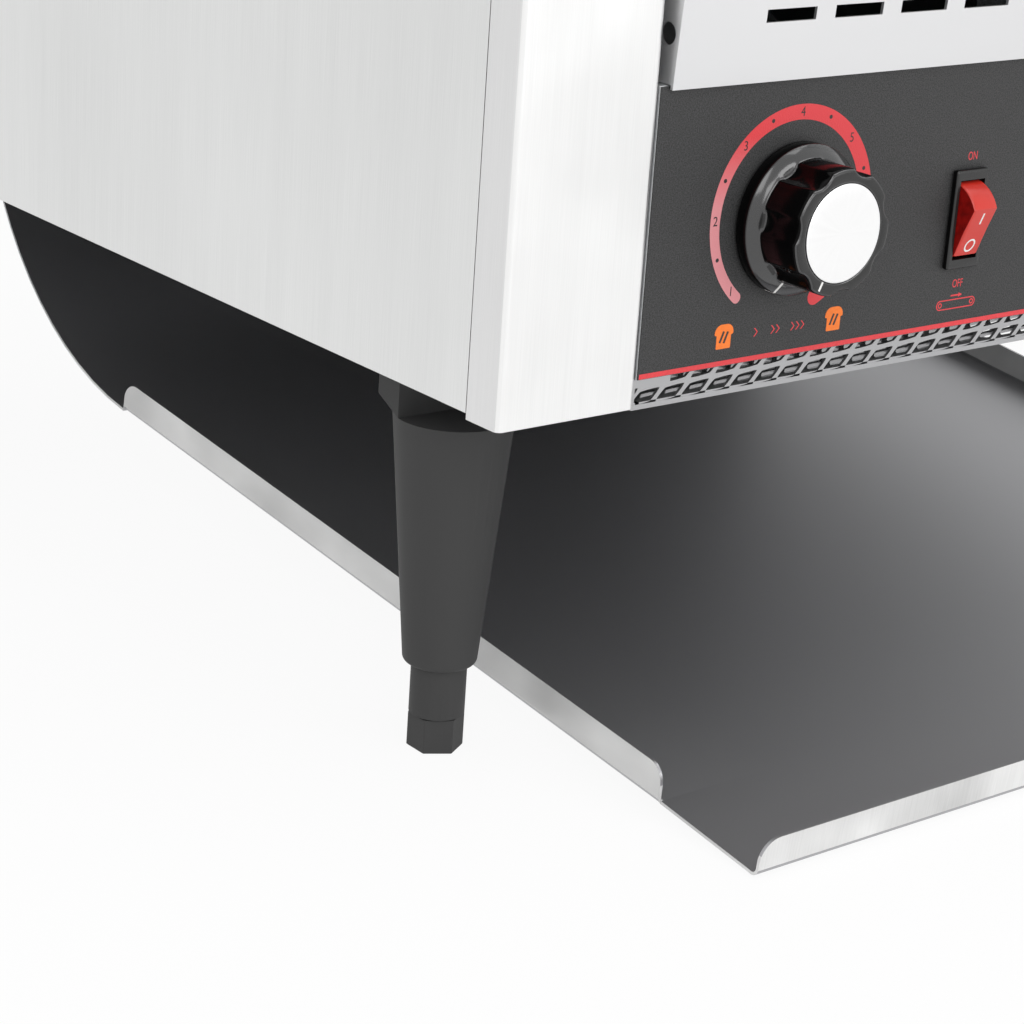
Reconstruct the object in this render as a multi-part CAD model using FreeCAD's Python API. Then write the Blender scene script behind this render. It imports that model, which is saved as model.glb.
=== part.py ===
import FreeCAD, Part
import math
import os

# A counter-top conveyor toaster in stainless sheet, in millimetres.
# X runs to the right, Y from the front to the back, Z up; the ground is at zero.

Vector = FreeCAD.Vector

# Body
body_width = 480.0
body_depth = 418.0
body_height = 265.5
leg_height = 121.5
sheet = 1.0
heavy_sheet = 1.5
bend_radius = 1.2
fit_gap = 0.3
seam_gap = 0.25
shaft_fit = 0.05
screw_fit = 0.08
overrun = 2.0
smallest_edge = 1e-6

# Front columns and side panels
column_face = 49.5
column_wrap = 14.3
column_return = 12.0
column_corner = 2.2
column_foot = 10.0
lap_depth = 13.0
lap_lift = 1.3
side_lift = 1.9
side_return = 8.0
rear_return = 14.0

# Top cover and rear panel
apron_height = 30.0
lip_height = 11.0
lip_setback = 18.0
vent_length = 32.0
vent_height = 3.0
vent_pitch = 9.0
vent_rows = 8
vent_foot = 90.0
screw_radius = 1.7
screw_head_radius = 3.4
screw_head_height = 1.9
screw_length = 7.0
side_screws = 3
rear_screws = 3
lip_screw_drop = 5.0

# Control panel and its film
panel_recess = 0.5
film = 0.4
film_margin = 0.3
panel_foot = 8.2
panel_top = 92.6
panel_flange = 12.0

# Slotted front cover
cover_foot = 91.5
cover_top = 172.0
cover_proud = 1.6
cover_lean = 4.0
cover_side_gap = 2.9
cover_flange = 10.0
ledge_height = 164.0
ledge_reach = 12.0
ledge_ear = 4.0
slot_length = 19.1
slot_height = 3.7
slot_pitch = 26.6
slot_rise = 110.4
slot_margin = 23.6
flange_hole_radius = 3.2
flange_hole_rise = 106.6
flange_hole_setback = 4.9

# Bottom guard
guard_lip = 9.0
guard_rear_lip = 8.0
guard_depth = 285.0
guard_columns = 18
guard_rows = 13
guard_margin = 6.0
guard_open_share = 0.78
lens_flat_share = 0.4
lip_hole_pitch = 9.5
lip_hole_length = 11.4
lip_hole_width = 3.6
lip_hole_rise = 4.3
lip_hole_tilt = 20.0

# Toast tray and chute
tray_reach = 65.9
tray_side_gap = 3.0
tray_tilt = 6.09
tray_ground_gap = 0.5
tray_flange = 12.4
tray_flange_start = 44.0
tray_lip = 12.0
tray_corner = 6.0
floor_run = 352.7
chute_radius = 125.0
hook_height = 60.0
hook_drop = 4.0
hook_slack = 1.6
hook_gap = 0.4
hanger_depth = 16.0
hanger_flange = 12.0

# Legs and screw feet
leg_inset_x = 28.1
front_leg_inset = 55.6
rear_leg_inset = 43.5
leg_rim_drop = 14.1
leg_cone_drop = 93.4
leg_sleeve_drop = 110.0
leg_rim_radius = 18.3
leg_cone_radius = 11.4
leg_round = 2.0
sleeve_radius = 8.65
head_half_width = 18.1
head_front = 3.4
head_back = 13.7
head_slope = 5.0
foot_flats = 15.3
foot_stud_radius = 4.0
foot_stud_length = 30.0
bolt_radius = 3.0
bolt_spread = 10.0
bolt_length = 12.0
bolt_head_flats = 10.0
bolt_head_height = 4.0

# Inner frame
wall = 1.2
rail_flange = 20.0
rail_setback = 16.0
shield_height = 110.0
shield_setback = 14.0
shield_lip = 9.0
deflector_foot = 62.8
deflector_top = 240.0
deflector_setback = 24.0
plate_height = 24.0
plate_start = 90.0
plate_end = 270.0
plate_flange = 12.0

# Conveyor
belt_turn_pitches = 12
belt_pitch = 10.35
belt_run_pitches = 27
belt_side_gap = 10.5
belt_rod_radius = 1.25
belt_band_width = 1.6
belt_band_height = 1.8
belt_bands = 6
conveyor_height = 148.0
drive_inset = 98.0
shaft_radius = 5.0
shaft_overhang = 5.0
drive_overhang = 15.0
roller_width = 5.0
roller_hub_radius = 9.0
roller_hub_width = 12.0
roller_ribs = 24
roller_rib_height = 1.6
roller_rib_root = 3.2
roller_rib_tip = 1.8
roller_count = 4
bush_radius = 8.0
bush_flange_radius = 11.0
bush_flange = 1.5
bush_inner = 4.0

# Drive
pulley_span = 114.3
pulley_angle = 39.0
pulley_radius = 15.0
pulley_flange_radius = 18.0
pulley_flange = 1.0
pulley_hub_radius = 8.0
pulley_hub_reach = 5.5
pulley_standoff = 9.0
drive_belt_width = 6.0
drive_belt_thickness = 1.8
gearbox_size = 60.0
gearbox_length = 34.0
gearbox_boss_radius = 8.0
gearbox_boss = 3.0
gearbox_round = 4.0
gearbox_screw_spread = 24.0
motor_radius = 27.0
motor_length = 70.0
motor_tail_radius = 9.0
motor_tail = 6.0
motor_shaft_radius = 4.0
motor_shaft_depth = 14.0
motor_shaft_overhang = 14.0

# Heating
tube_radius = 5.0
tube_bore = 4.0
tube_end = 8.0
coil_radius = 2.2
coil_lead = 4.0
cap_radius = 9.0
cap_length = 16.0
cap_fit = 0.2
cap_flat = 2.0
tube_hole_gap = 0.7
upper_tube_drop = 37.5
tube_start = 110.0
tube_pitch = 70.0
tube_count = 3
upper_reflector_rise = 15.0
upper_reflector_start = 60.0
upper_reflector_end = 320.0
upper_reflector_lip = 12.0
lower_reflector_drop = 13.0
lower_reflector_start = 72.0
lower_reflector_end = 288.0
lower_reflector_lip = 5.0

# Speed knob and its control
knob_side_gap = 54.9
knob_height = 50.7
knob_gap = 0.4
skirt_radius = 22.5
skirt_rim = 4.4
skirt_height = 6.1
grip_radius = 18.7
knob_length = 21.4
flute_count = 7
flute_start = 19.0
flute_radius = 7.0
flute_depth = 1.6
knob_edge = 0.9
cap_disc_radius = 14.5
cap_disc_thickness = 0.9
cap_disc_recess = 0.6
knob_cavity_radius = 16.0
knob_cavity_depth = 5.2
control_body_radius = 12.0
control_body_length = 10.0
control_bush_radius = 4.5
control_bush_length = 4.2
control_nut_flats = 12.0
control_nut_height = 1.8
control_shaft_radius = 3.0
control_shaft_length = 16.0
control_shaft_seat = 6.0

# Rockers
rocker_knob_gap = 73.3
rocker_side_gap = 56.8
rocker_height = 43.2
bezel_half_width = 7.0
bezel_half_height = 15.5
bezel_proud = 2.4
housing_half_width = 6.15
housing_half_height = 14.1
housing_depth = 20.0
cavity_half_width = 5.3
cavity_half_height = 12.4
cavity_depth = 11.0
cutout_gap = 0.15
rocker_half_width = 5.0
rocker_half_length = 8.54
rocker_face = 8.43
rocker_heel = 54.0
rocker_pivot_depth = 1.9
rocker_tilt = 22.0
pivot_pin_radius = 1.5
pivot_pin_reach = 0.8
tab_width = 6.3
tab_thickness = 0.8
tab_length = 8.0
tab_spread = 6.0
tab_count = 3

# Electrics behind the panel
board_width = 100.0
board_depth = 70.0
board_thickness = 1.6
board_side_gap = 30.0
board_start = 120.0
board_margin = 5.0
standoff_radius = 3.0
standoff_height = 8.0
heat_sink_width = 40.0
heat_sink_depth = 18.0
heat_sink_height = 22.0
heat_sink_fins = 6
heat_sink_gap_share = 0.45
heat_sink_foot = 5.5
capacitor_radius = 8.0
capacitor_height = 20.0
capacitor_spread = 20.0
terminal_width = 60.0
terminal_depth = 20.0
terminal_height = 18.0
terminal_side_gap = 40.5
terminal_cells = 6
terminal_wall = 2.0
loom_radius = 3.5
loom_hole_radius = 6.0
loom_bend = 32.0
loom_front_run = 60.0
gland_reach = 14.0
gland_side_gap = 25.0
gland_height = 36.0
gland_bore = 4.5
gland_hex_flats = 22.0
gland_hex_height = 6.0
gland_dome_radius = 9.0
gland_thread_radius = 7.9
gland_thread_length = 9.0
gland_nut_height = 5.0
gland_clear = 2.0

# Feed rack
rack_wire_radius = 1.5
rack_frame_radius = 2.0
rack_side_gap = 14.5
rack_wires = 11
rack_start = 14.0
rack_reach = 58.0
rack_lift = 2.35

# Places worked out from the sizes above
half_width = body_width / 2
front_y = (tray_reach - body_depth - gland_reach) / 2
rear_y = front_y + body_depth
base_z = leg_height
top_z = base_z + body_height
inner_x = half_width - column_face
cover_half_width = inner_x - cover_side_gap
tray_half_width = inner_x - tray_side_gap
wall_x = inner_x + wall
rack_half_width = inner_x - rack_side_gap
belt_half_width = inner_x - belt_side_gap
panel_y = front_y + panel_recess
film_y = panel_y - film
rail_z = base_z + side_lift + sheet
conveyor_z = base_z + conveyor_height
upper_tube_z = top_z - upper_tube_drop
upper_reflector_z = upper_tube_z + upper_reflector_rise
pitch_radius = belt_pitch / (2 * math.sin(math.pi / belt_turn_pitches))
drive_y = rear_y - drive_inset
idler_y = drive_y - belt_pitch * belt_run_pitches
motor_y = drive_y - pulley_span * math.cos(math.radians(pulley_angle))
motor_z = conveyor_z - pulley_span * math.sin(math.radians(pulley_angle))
pulley_x = wall_x + pulley_standoff
tube_ys = [front_y + tube_start + tube_pitch * i for i in range(tube_count)]
knob_x = knob_side_gap - inner_x
rocker_x = knob_x + rocker_knob_gap
rocker_pitch = (inner_x - rocker_side_gap - rocker_x) / 2
rocker_xs = [rocker_x + rocker_pitch * i for i in range(3)]
knob_z = base_z + knob_height
rocker_z = base_z + rocker_height
gland_x = gland_side_gap - half_width
gland_z = base_z + gland_height
terminal_left = terminal_side_gap - inner_x
board_left = terminal_left + terminal_width + board_side_gap
leg_head_y = (head_front + head_back) / 2
tray_slope = math.radians(tray_tilt)
tray_foot_y = front_y - tray_reach + tray_lip * math.sin(tray_slope)
tray_foot_z = tray_ground_gap


def along(point, plane, depth):
    """A flat point (a, b) set into the plane YZ, XY or XZ at the given depth."""
    if plane == "YZ":
        return Vector(depth, point[0], point[1])
    if plane == "XY":
        return Vector(point[0], point[1], depth)
    return Vector(point[0], depth, point[1])


def normal_of(plane):
    """The direction in which a prism on the plane is drawn out."""
    return {"YZ": Vector(1, 0, 0), "XY": Vector(0, 0, 1), "XZ": Vector(0, 1, 0)}[plane]


def rounded_wire(points, radii, plane, depth):
    """A closed outline with its corners rounded to the given radii."""
    count = len(points)
    stations = []
    for i, corner in enumerate(points):
        before = points[i - 1]
        after = points[(i + 1) % count]
        radius = radii[i]
        if radius <= 0:
            stations.append((corner, None, corner))
            continue
        back = unit(corner, before)
        ahead = unit(corner, after)
        half = math.acos(max(-1, min(1, back[0] * ahead[0] + back[1] * ahead[1]))) / 2
        reach = radius / math.tan(half)
        start = (corner[0] + back[0] * reach, corner[1] + back[1] * reach)
        end = (corner[0] + ahead[0] * reach, corner[1] + ahead[1] * reach)
        middle = unit((0, 0), (back[0] + ahead[0], back[1] + ahead[1]))
        depth_in = radius / math.sin(half) - radius
        top = (corner[0] + middle[0] * depth_in, corner[1] + middle[1] * depth_in)
        stations.append((start, top, end))
    edges = []
    for i, (start, top, end) in enumerate(stations):
        if top is not None:
            arc = Part.Arc(along(start, plane, depth), along(top, plane, depth), along(end, plane, depth))
            edges.append(arc.toShape())
        following = stations[(i + 1) % count][0]
        line_start = along(end, plane, depth)
        line_end = along(following, plane, depth)
        if line_start.distanceToPoint(line_end) > smallest_edge:
            edges.append(Part.LineSegment(line_start, line_end).toShape())
    return Part.Wire(edges)


def unit(start, end):
    """The flat direction of length one from start to end."""
    across = end[0] - start[0]
    up = end[1] - start[1]
    size = math.hypot(across, up)
    return (across / size, up / size)


def prism(points, radii, plane, low, high, holes=()):
    """A rounded outline drawn out from low to high, with round or outlined holes."""
    if not radii:
        radii = [0] * len(points)
    wires = [rounded_wire(points, radii, plane, low)]
    for hole in holes:
        wires.append(hole_wire(hole, plane, low))
    face = Part.makeFace(wires, "Part::FaceMakerBullseye")
    return upright(face.extrude(normal_of(plane) * (high - low)))


def hole_wire(hole, plane, depth):
    """A hole outline: (a, b, radius) for a round one, or a list of flat points."""
    if isinstance(hole, tuple):
        circle = Part.Circle(along(hole[:2], plane, depth), normal_of(plane), hole[2])
        return Part.Wire([circle.toShape()])
    return rounded_wire(hole, [0] * len(hole), plane, depth)


def rectangle(a, b, half_a, half_b):
    """The four corners of a rectangle about a centre."""
    return [(a - half_a, b - half_b), (a + half_a, b - half_b), (a + half_a, b + half_b),
            (a - half_a, b + half_b)]


def lens(a, b, length, width, tilt):
    """A six-sided lens about a centre, turned by an angle in degrees."""
    turn = math.radians(tilt)
    flat = length * lens_flat_share / 2
    corners = [(-length / 2, 0), (-flat, -width / 2), (flat, -width / 2),
               (length / 2, 0), (flat, width / 2), (-flat, width / 2)]
    points = []
    for x, y in corners:
        points.append((a + x * math.cos(turn) - y * math.sin(turn),
                       b + x * math.sin(turn) + y * math.cos(turn)))
    return points


def bent_sheet(path, thickness, inner_radii, plane, low, high):
    """A folded sheet: a path of flat points given one face, bent at each inner point.

    The sheet lies to the left of the path, or to the right where the thickness is negative.
    """
    directions = [unit(path[i], path[i + 1]) for i in range(len(path) - 1)]
    normals = [(-d[1], d[0]) for d in directions]
    face_points = list(path)
    back_points = []
    face_radii = [0] * len(path)
    back_radii = [0] * len(path)
    for i, point in enumerate(path):
        first = normals[max(i - 1, 0)]
        second = normals[min(i, len(normals) - 1)]
        share = 1 + first[0] * second[0] + first[1] * second[1]
        back_points.append((point[0] + thickness * (first[0] + second[0]) / share,
                            point[1] + thickness * (first[1] + second[1]) / share))
        if 0 < i < len(path) - 1:
            turn = directions[i - 1][0] * directions[i][1] - directions[i - 1][1] * directions[i][0]
            inner = inner_radii[i - 1]
            outer = inner + abs(thickness)
            if turn * thickness > 0:
                back_radii[i], face_radii[i] = inner, outer
            else:
                back_radii[i], face_radii[i] = outer, inner
    return prism(face_points + back_points[::-1], face_radii + back_radii[::-1], plane, low, high)


def upright(shape):
    """The same shape with its faces pointing outwards."""
    if shape.Volume < 0:
        shape.reverse()
    return shape


def block(low, high):
    """A box between two corners given in any order."""
    start = [min(low[i], high[i]) for i in range(3)]
    end = [max(low[i], high[i]) for i in range(3)]
    return Part.makeBox(end[0] - start[0], end[1] - start[1], end[2] - start[2], Vector(*start))


def rod(radius, start, end):
    """A round bar between two points."""
    first = Vector(*start)
    run = Vector(*end) - first
    return Part.makeCylinder(radius, run.Length, first, run)


def pipe(outer, inner, start, end):
    """A round tube between two points."""
    return rod(outer, start, end).cut(rod(inner, start, end))


def turned(profile, radii, centre, direction):
    """A solid of revolution: profile points are (distance along the axis, radius)."""
    wire = rounded_wire([(p[1], p[0]) for p in profile], radii, "XZ", 0)
    solid = upright(Part.Face(wire).revolve(Vector(0, 0, 0), Vector(0, 0, 1), 360))
    turn = FreeCAD.Rotation(Vector(0, 0, 1), direction)
    solid.Placement = FreeCAD.Placement(centre, turn)
    return solid


def hexagon(flats, centre, height, direction):
    """A hexagonal bar with the given width across its flats."""
    radius = flats / math.sqrt(3)
    corners = [(radius * math.cos(math.radians(60 * i + 30)), radius * math.sin(math.radians(60 * i + 30)))
               for i in range(6)]
    solid = prism(corners, None, "XY", 0, height)
    solid.Placement = FreeCAD.Placement(centre, FreeCAD.Rotation(Vector(0, 0, 1), direction))
    return solid


def screw(point, direction):
    """A pan-head screw whose head lies on point and whose shank runs against direction."""
    head = Part.makeCylinder(screw_head_radius, screw_head_height, point, direction)
    head = head.makeFillet(screw_head_height / 2, [head.Edges[0]])
    shank = Part.makeCylinder(screw_radius, screw_length, point - direction * screw_length, direction)
    return head.fuse(shank)


def merge(shapes):
    """Several touching shapes made one."""
    first = shapes[0]
    return first.multiFuse(shapes[1:]).removeSplitter()


def clear(shape, cutters):
    """A shape with the cutters taken away."""
    return shape.cut(Part.makeCompound(cutters))


def save(name, shapes):
    """Write one node from a list of solids and report its size."""
    solids = []
    for shape in shapes:
        for solid in shape.Solids:
            solids.append(upright(solid))
    for solid in solids:
        if not solid.isValid() or solid.Volume <= 0:
            print("NOT VALID", name)
    shape = solids[0] if len(solids) == 1 else Part.makeCompound(solids)
    shape.exportStep("parts/" + name + ".step")
    box = shape.BoundBox
    print(name, len(solids), [round(v, 1) for v in (box.XMin, box.XMax, box.YMin, box.YMax, box.ZMin,
                                                    box.ZMax)])


# Outer shell

def front_column(side):
    """The folded sheet at a front corner, with its lap behind the side panel."""
    outer = side * half_width
    inner = side * inner_x
    path = [(outer, front_y + column_wrap), (outer, front_y), (inner, front_y),
            (inner, front_y + column_return)]
    inside = column_corner - sheet
    shell = bent_sheet(path, -side * sheet, [inside, inside], "XY", base_z, top_z - sheet)
    lap = block((side * (half_width - sheet), front_y + column_corner, base_z + lap_lift),
                (side * (half_width - 2 * sheet), front_y + column_wrap + lap_depth, top_z - sheet))
    foot = block((side * (half_width - sheet), front_y + sheet, base_z),
                 (side * (inner_x + sheet), front_y + column_foot, base_z + sheet))
    return merge([shell, lap, foot])


def side_screw_places():
    """Where the screws of a side panel sit along its upper edge."""
    start = front_y + column_wrap + lap_depth + lip_setback
    end = rear_y - 2 * lip_setback
    return [start + (end - start) * i / (side_screws - 1) for i in range(side_screws)]


def lip_screw_z():
    """The height of the screws in the top cover's lips."""
    return top_z - sheet - lip_screw_drop


def side_panel(side):
    """A flat side with a return along its foot and another at the back."""
    start = front_y + column_wrap + seam_gap
    end = rear_y - sheet
    low = base_z + side_lift
    plate = block((side * half_width, start, low), (side * (half_width - sheet), end, top_z - sheet))
    foot = block((side * (half_width - sheet), front_y + column_wrap + lap_depth + fit_gap, low),
                 (side * (half_width - side_return), end, low + sheet))
    back = block((side * (half_width - sheet), end - sheet, low),
                 (side * (half_width - rear_return), end, top_z - sheet - fit_gap))
    holes = [rod(screw_radius + screw_fit, (side * (half_width + overrun), y, lip_screw_z()),
                 (side * (half_width - sheet - overrun), y, lip_screw_z())) for y in side_screw_places()]
    holes += [rod(screw_radius + screw_fit, (x, rear_y + overrun, z), (x, rear_y - 2 * sheet - overrun, z))
              for x, z in rear_screw_places() if x * side > inner_x]
    return clear(merge([plate, foot, back]), holes)


def rear_screw_places():
    """Where the rear panel's screws sit: down each side, and along the top lip."""
    x = half_width - rear_return / 2
    low = base_z + side_lift + rear_return
    high = top_z - 2 * rear_return
    places = []
    for i in range(rear_screws):
        z = low + (high - low) * i / (rear_screws - 1)
        places += [(-x, z), (x, z)]
    places += [(inner_x * (i - 1) / 2, lip_screw_z()) for i in range(3)]
    return places


def top_cover():
    """The lid with a front apron between the columns and lips inside the other sides."""
    lid = block((-half_width, front_y, top_z - sheet), (half_width, rear_y, top_z))
    apron_x = inner_x - fit_gap
    apron = block((-apron_x, front_y, top_z - apron_height), (apron_x, front_y + sheet, top_z - sheet))
    under = top_z - sheet
    pieces = [lid, apron]
    for side in (-1, 1):
        x = side * (half_width - sheet - fit_gap)
        pieces.append(block((x, front_y + column_wrap + lap_depth + fit_gap, under - lip_height),
                            (x - side * sheet, rear_y - lip_setback, under)))
    lip_x = half_width - lip_setback
    lip_y = rear_y - sheet - fit_gap
    pieces.append(block((-lip_x, lip_y - sheet, under - lip_height), (lip_x, lip_y, under)))
    holes = []
    for y in side_screw_places():
        holes.append(rod(screw_radius + screw_fit, (-half_width - overrun, y, lip_screw_z()),
                         (half_width + overrun, y, lip_screw_z())))
    for x, z in rear_screw_places():
        if abs(x) < inner_x:
            holes.append(rod(screw_radius + screw_fit, (x, rear_y + overrun, z),
                             (x, lip_y - sheet - overrun, z)))
    for side in (-1, 1):
        holes.append(block((side * (inner_x - fit_gap), lip_y - sheet - overrun, under - 2 * lip_height),
                           (side * (wall_x + fit_gap), lip_y + overrun, under)))
    return clear(merge(pieces), holes)


def rear_panel():
    """The back sheet with two banks of vents, its screw holes and the cord's hole."""
    low = base_z + side_lift
    high = top_z - sheet
    outline = [(-half_width, low), (half_width, low), (half_width, high), (-half_width, high)]
    holes = []
    vent_x = (half_width - rear_return + wall_x) / 2
    for side in (-1, 1):
        for i in range(vent_rows):
            z = base_z + vent_foot + vent_pitch * i
            holes.append(rectangle(side * vent_x, z, vent_length / 2, vent_height / 2))
    holes += [(x, z, screw_radius + screw_fit) for x, z in rear_screw_places()]
    holes.append((gland_x, gland_z, gland_thread_radius + screw_fit))
    return prism(outline, None, "XZ", rear_y - sheet, rear_y, holes)


def shell_screws():
    """The screws in the two sides and the back."""
    screws = []
    for side in (-1, 1):
        screws += [screw(Vector(side * half_width, y, lip_screw_z()), Vector(side, 0, 0))
                   for y in side_screw_places()]
    screws += [screw(Vector(x, rear_y, z), Vector(0, 1, 0)) for x, z in rear_screw_places()]
    return screws


# Controls on the front

def control_cutouts():
    """The holes in the panel and film for the speed control and the rockers."""
    holes = [(knob_x, knob_z, control_bush_radius + cutout_gap)]
    for x in rocker_xs:
        holes.append(rectangle(x, rocker_z, housing_half_width + cutout_gap,
                               housing_half_height + cutout_gap))
    return holes


def control_panel():
    """The plate behind the film, folded back at its sides and top."""
    half = inner_x - fit_gap
    low = base_z + panel_foot
    high = base_z + panel_top
    outline = [(-half, low), (half, low), (half, high), (-half, high)]
    plate = prism(outline, None, "XZ", panel_y, panel_y + wall, control_cutouts())
    top = block((-half, panel_y + wall, high - wall), (half, front_y + panel_flange, high))
    rise = base_z + guard_lip + fit_gap
    sides = [block((side * half, panel_y + wall, rise),
                   (side * (half - wall), front_y + panel_flange, high)) for side in (-1, 1)]
    return merge([plate, top] + sides)


def panel_film():
    """The thin printed film on the control panel."""
    half = inner_x - fit_gap
    low = base_z + panel_foot + film_margin
    high = base_z + panel_top - fit_gap
    outline = [(-half, low), (half, low), (half, high), (-half, high)]
    return prism(outline, None, "XZ", film_y, panel_y, control_cutouts())


def cover_face_y(height):
    """The front of the leaning cover at a height above the body's foot."""
    return front_y - cover_proud - (height - cover_foot) * math.tan(math.radians(cover_lean))


def front_cover():
    """The slotted cover above the panel, with its ledge under the bread inlet."""
    path = [(cover_face_y(cover_foot), base_z + cover_foot), (cover_face_y(cover_top), base_z + cover_top),
            (front_y + ledge_reach, base_z + ledge_height)]
    face = bent_sheet(path, -sheet, [bend_radius], "YZ", -cover_half_width, cover_half_width)
    ear_x = inner_x
    ear = block((-ear_x, front_y + ledge_reach - sheet, base_z + ledge_height - 2 * sheet),
                (ear_x, front_y + ledge_reach + ledge_ear, base_z + ledge_height))
    pieces = [face, ear]
    low = panel_top + fit_gap
    high = cover_top - sheet
    for side in (-1, 1):
        outline = [(cover_face_y(low) + sheet / 2, base_z + low),
                   (cover_face_y(low) + cover_flange, base_z + low),
                   (cover_face_y(high) + cover_flange, base_z + ledge_height),
                   (cover_face_y(high) + sheet, base_z + high - sheet)]
        hole_y = cover_face_y(flange_hole_rise) + flange_hole_setback
        edges = (side * cover_half_width, side * (cover_half_width - sheet))
        flange = prism(outline, None, "YZ", min(edges), max(edges))
        hole = rod(flange_hole_radius, (side * (cover_half_width + overrun), hole_y,
                                        base_z + flange_hole_rise),
                   (side * (cover_half_width - overrun), hole_y, base_z + flange_hole_rise))
        pieces.append(flange.cut(hole))
    body = merge(pieces)
    slots = []
    slot_y = cover_face_y(slot_rise)
    count = int((2 * (cover_half_width - slot_margin) - slot_length) / slot_pitch + 1)
    first = -slot_pitch * (count - 1) / 2
    for i in range(count):
        x = first + slot_pitch * i
        slots.append(block((x - slot_length / 2, slot_y - overrun, base_z + slot_rise - slot_height / 2),
                           (x + slot_length / 2, slot_y + 2 * overrun,
                            base_z + slot_rise + slot_height / 2)))
    return clear(body, slots)


def bottom_guard():
    """The open grid under the controls, turned up at the front and at the back."""
    half = inner_x - fit_gap
    start = panel_y + wall + fit_gap
    end = front_y + guard_depth
    outline = [(-half, start), (half, start), (half, end), (-half, end)]
    holes = []
    pitch_x = 2 * (half - guard_margin) / guard_columns
    pitch_y = (end - start - 2 * guard_margin) / guard_rows
    for row in range(guard_rows):
        for column in range(guard_columns):
            x = -half + guard_margin + pitch_x * (column + 1 / 2)
            y = start + guard_margin + pitch_y * (row + 1 / 2)
            holes.append(lens(x, y, pitch_x * guard_open_share, pitch_y * guard_open_share, 0))
    floor = prism(outline, None, "XY", base_z, base_z + sheet, holes)
    lip_outline = [(-half, base_z), (half, base_z), (half, base_z + guard_lip), (-half, base_z + guard_lip)]
    count = int(2 * (half - guard_margin) / lip_hole_pitch)
    lip_holes = []
    for i in range(count):
        x = (i - (count - 1) / 2) * lip_hole_pitch
        lip_holes.append(lens(x, base_z + lip_hole_rise + sheet / 2, lip_hole_length, lip_hole_width,
                              lip_hole_tilt))
    lip = prism(lip_outline, None, "XZ", start, start + sheet, lip_holes)
    rear = block((-half, end - sheet, base_z), (half, end, base_z + guard_rear_lip))
    return merge([floor, lip, rear])


def speed_control():
    """The turning control behind the panel: body, threaded bush and nut."""
    centre = (knob_x, knob_z)
    back = panel_y + wall
    body = rod(control_body_radius, (centre[0], back, centre[1]),
               (centre[0], back + control_body_length, centre[1]))
    bush = rod(control_bush_radius, (centre[0], film_y - control_bush_length, centre[1]),
               (centre[0], back, centre[1]))
    nut = hexagon(control_nut_flats, Vector(centre[0], film_y, centre[1]), control_nut_height,
                  Vector(0, -1, 0))
    bore = rod(control_shaft_radius + shaft_fit,
               (centre[0], film_y - control_bush_length - overrun, centre[1]),
               (centre[0], back + control_shaft_seat, centre[1]))
    return merge([body, bush, nut]).cut(bore)


def knob_shaft():
    """The control's shaft, which the knob is pushed on to."""
    return rod(control_shaft_radius, (knob_x, film_y - control_shaft_length, knob_z),
               (knob_x, panel_y + wall + control_shaft_seat - fit_gap, knob_z))


def speed_knob():
    """A fluted grip on a bevelled skirt, hollow behind, with a seat for its cap."""
    profile = [(knob_gap, 0), (knob_gap, skirt_radius), (knob_gap + skirt_rim, skirt_radius),
               (knob_gap + skirt_height, grip_radius + knob_edge), (knob_gap + skirt_height, grip_radius),
               (knob_length - knob_edge, grip_radius), (knob_length, grip_radius - knob_edge),
               (knob_length, 0)]
    front = Vector(0, -1, 0)
    centre = Vector(knob_x, film_y, knob_z)
    solid = turned(profile, [0] * len(profile), centre, front)
    cuts = []
    for i in range(flute_count):
        angle = math.radians(flute_start + 360 * i / flute_count)
        reach = grip_radius + flute_radius - flute_depth
        x = knob_x + reach * math.cos(angle)
        z = knob_z + reach * math.sin(angle)
        cuts.append(rod(flute_radius, (x, film_y - knob_gap - skirt_height, z),
                        (x, film_y - knob_length - overrun, z)))
    cuts.append(rod(cap_disc_radius + fit_gap, (knob_x, film_y - knob_length + cap_disc_recess, knob_z),
                    (knob_x, film_y - knob_length - overrun, knob_z)))
    cavity = rod(knob_cavity_radius, (knob_x, film_y, knob_z),
                 (knob_x, film_y - knob_gap - knob_cavity_depth, knob_z))
    cuts.append(cavity)
    cuts.append(rod(control_shaft_radius + shaft_fit, (knob_x, film_y, knob_z),
                    (knob_x, film_y - control_shaft_length - fit_gap, knob_z)))
    return clear(solid, cuts)


def knob_cap():
    """The bright disc set into the knob's face."""
    seat = film_y - knob_length + cap_disc_recess
    return rod(cap_disc_radius, (knob_x, seat, knob_z), (knob_x, seat - cap_disc_thickness, knob_z))


def rocker_housing(x):
    """The bezel and body of one rocker, open in front, with holes for its pivot."""
    bezel = block((x - bezel_half_width, film_y - bezel_proud, rocker_z - bezel_half_height),
                  (x + bezel_half_width, film_y, rocker_z + bezel_half_height))
    bezel = bezel.makeFillet(bezel_proud / 3, bezel.Edges[:])
    body = block((x - housing_half_width, film_y - bezel_proud / 2, rocker_z - housing_half_height),
                 (x + housing_half_width, film_y + housing_depth, rocker_z + housing_half_height))
    cavity = block((x - cavity_half_width, film_y - bezel_proud - overrun, rocker_z - cavity_half_height),
                   (x + cavity_half_width, film_y + cavity_depth, rocker_z + cavity_half_height))
    pivot = rod(pivot_pin_radius + shaft_fit, (x - bezel_half_width, film_y + rocker_pivot_depth, rocker_z),
                (x + bezel_half_width, film_y + rocker_pivot_depth, rocker_z))
    return clear(merge([bezel, body] + switch_tabs(x)), [cavity, pivot])


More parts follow.
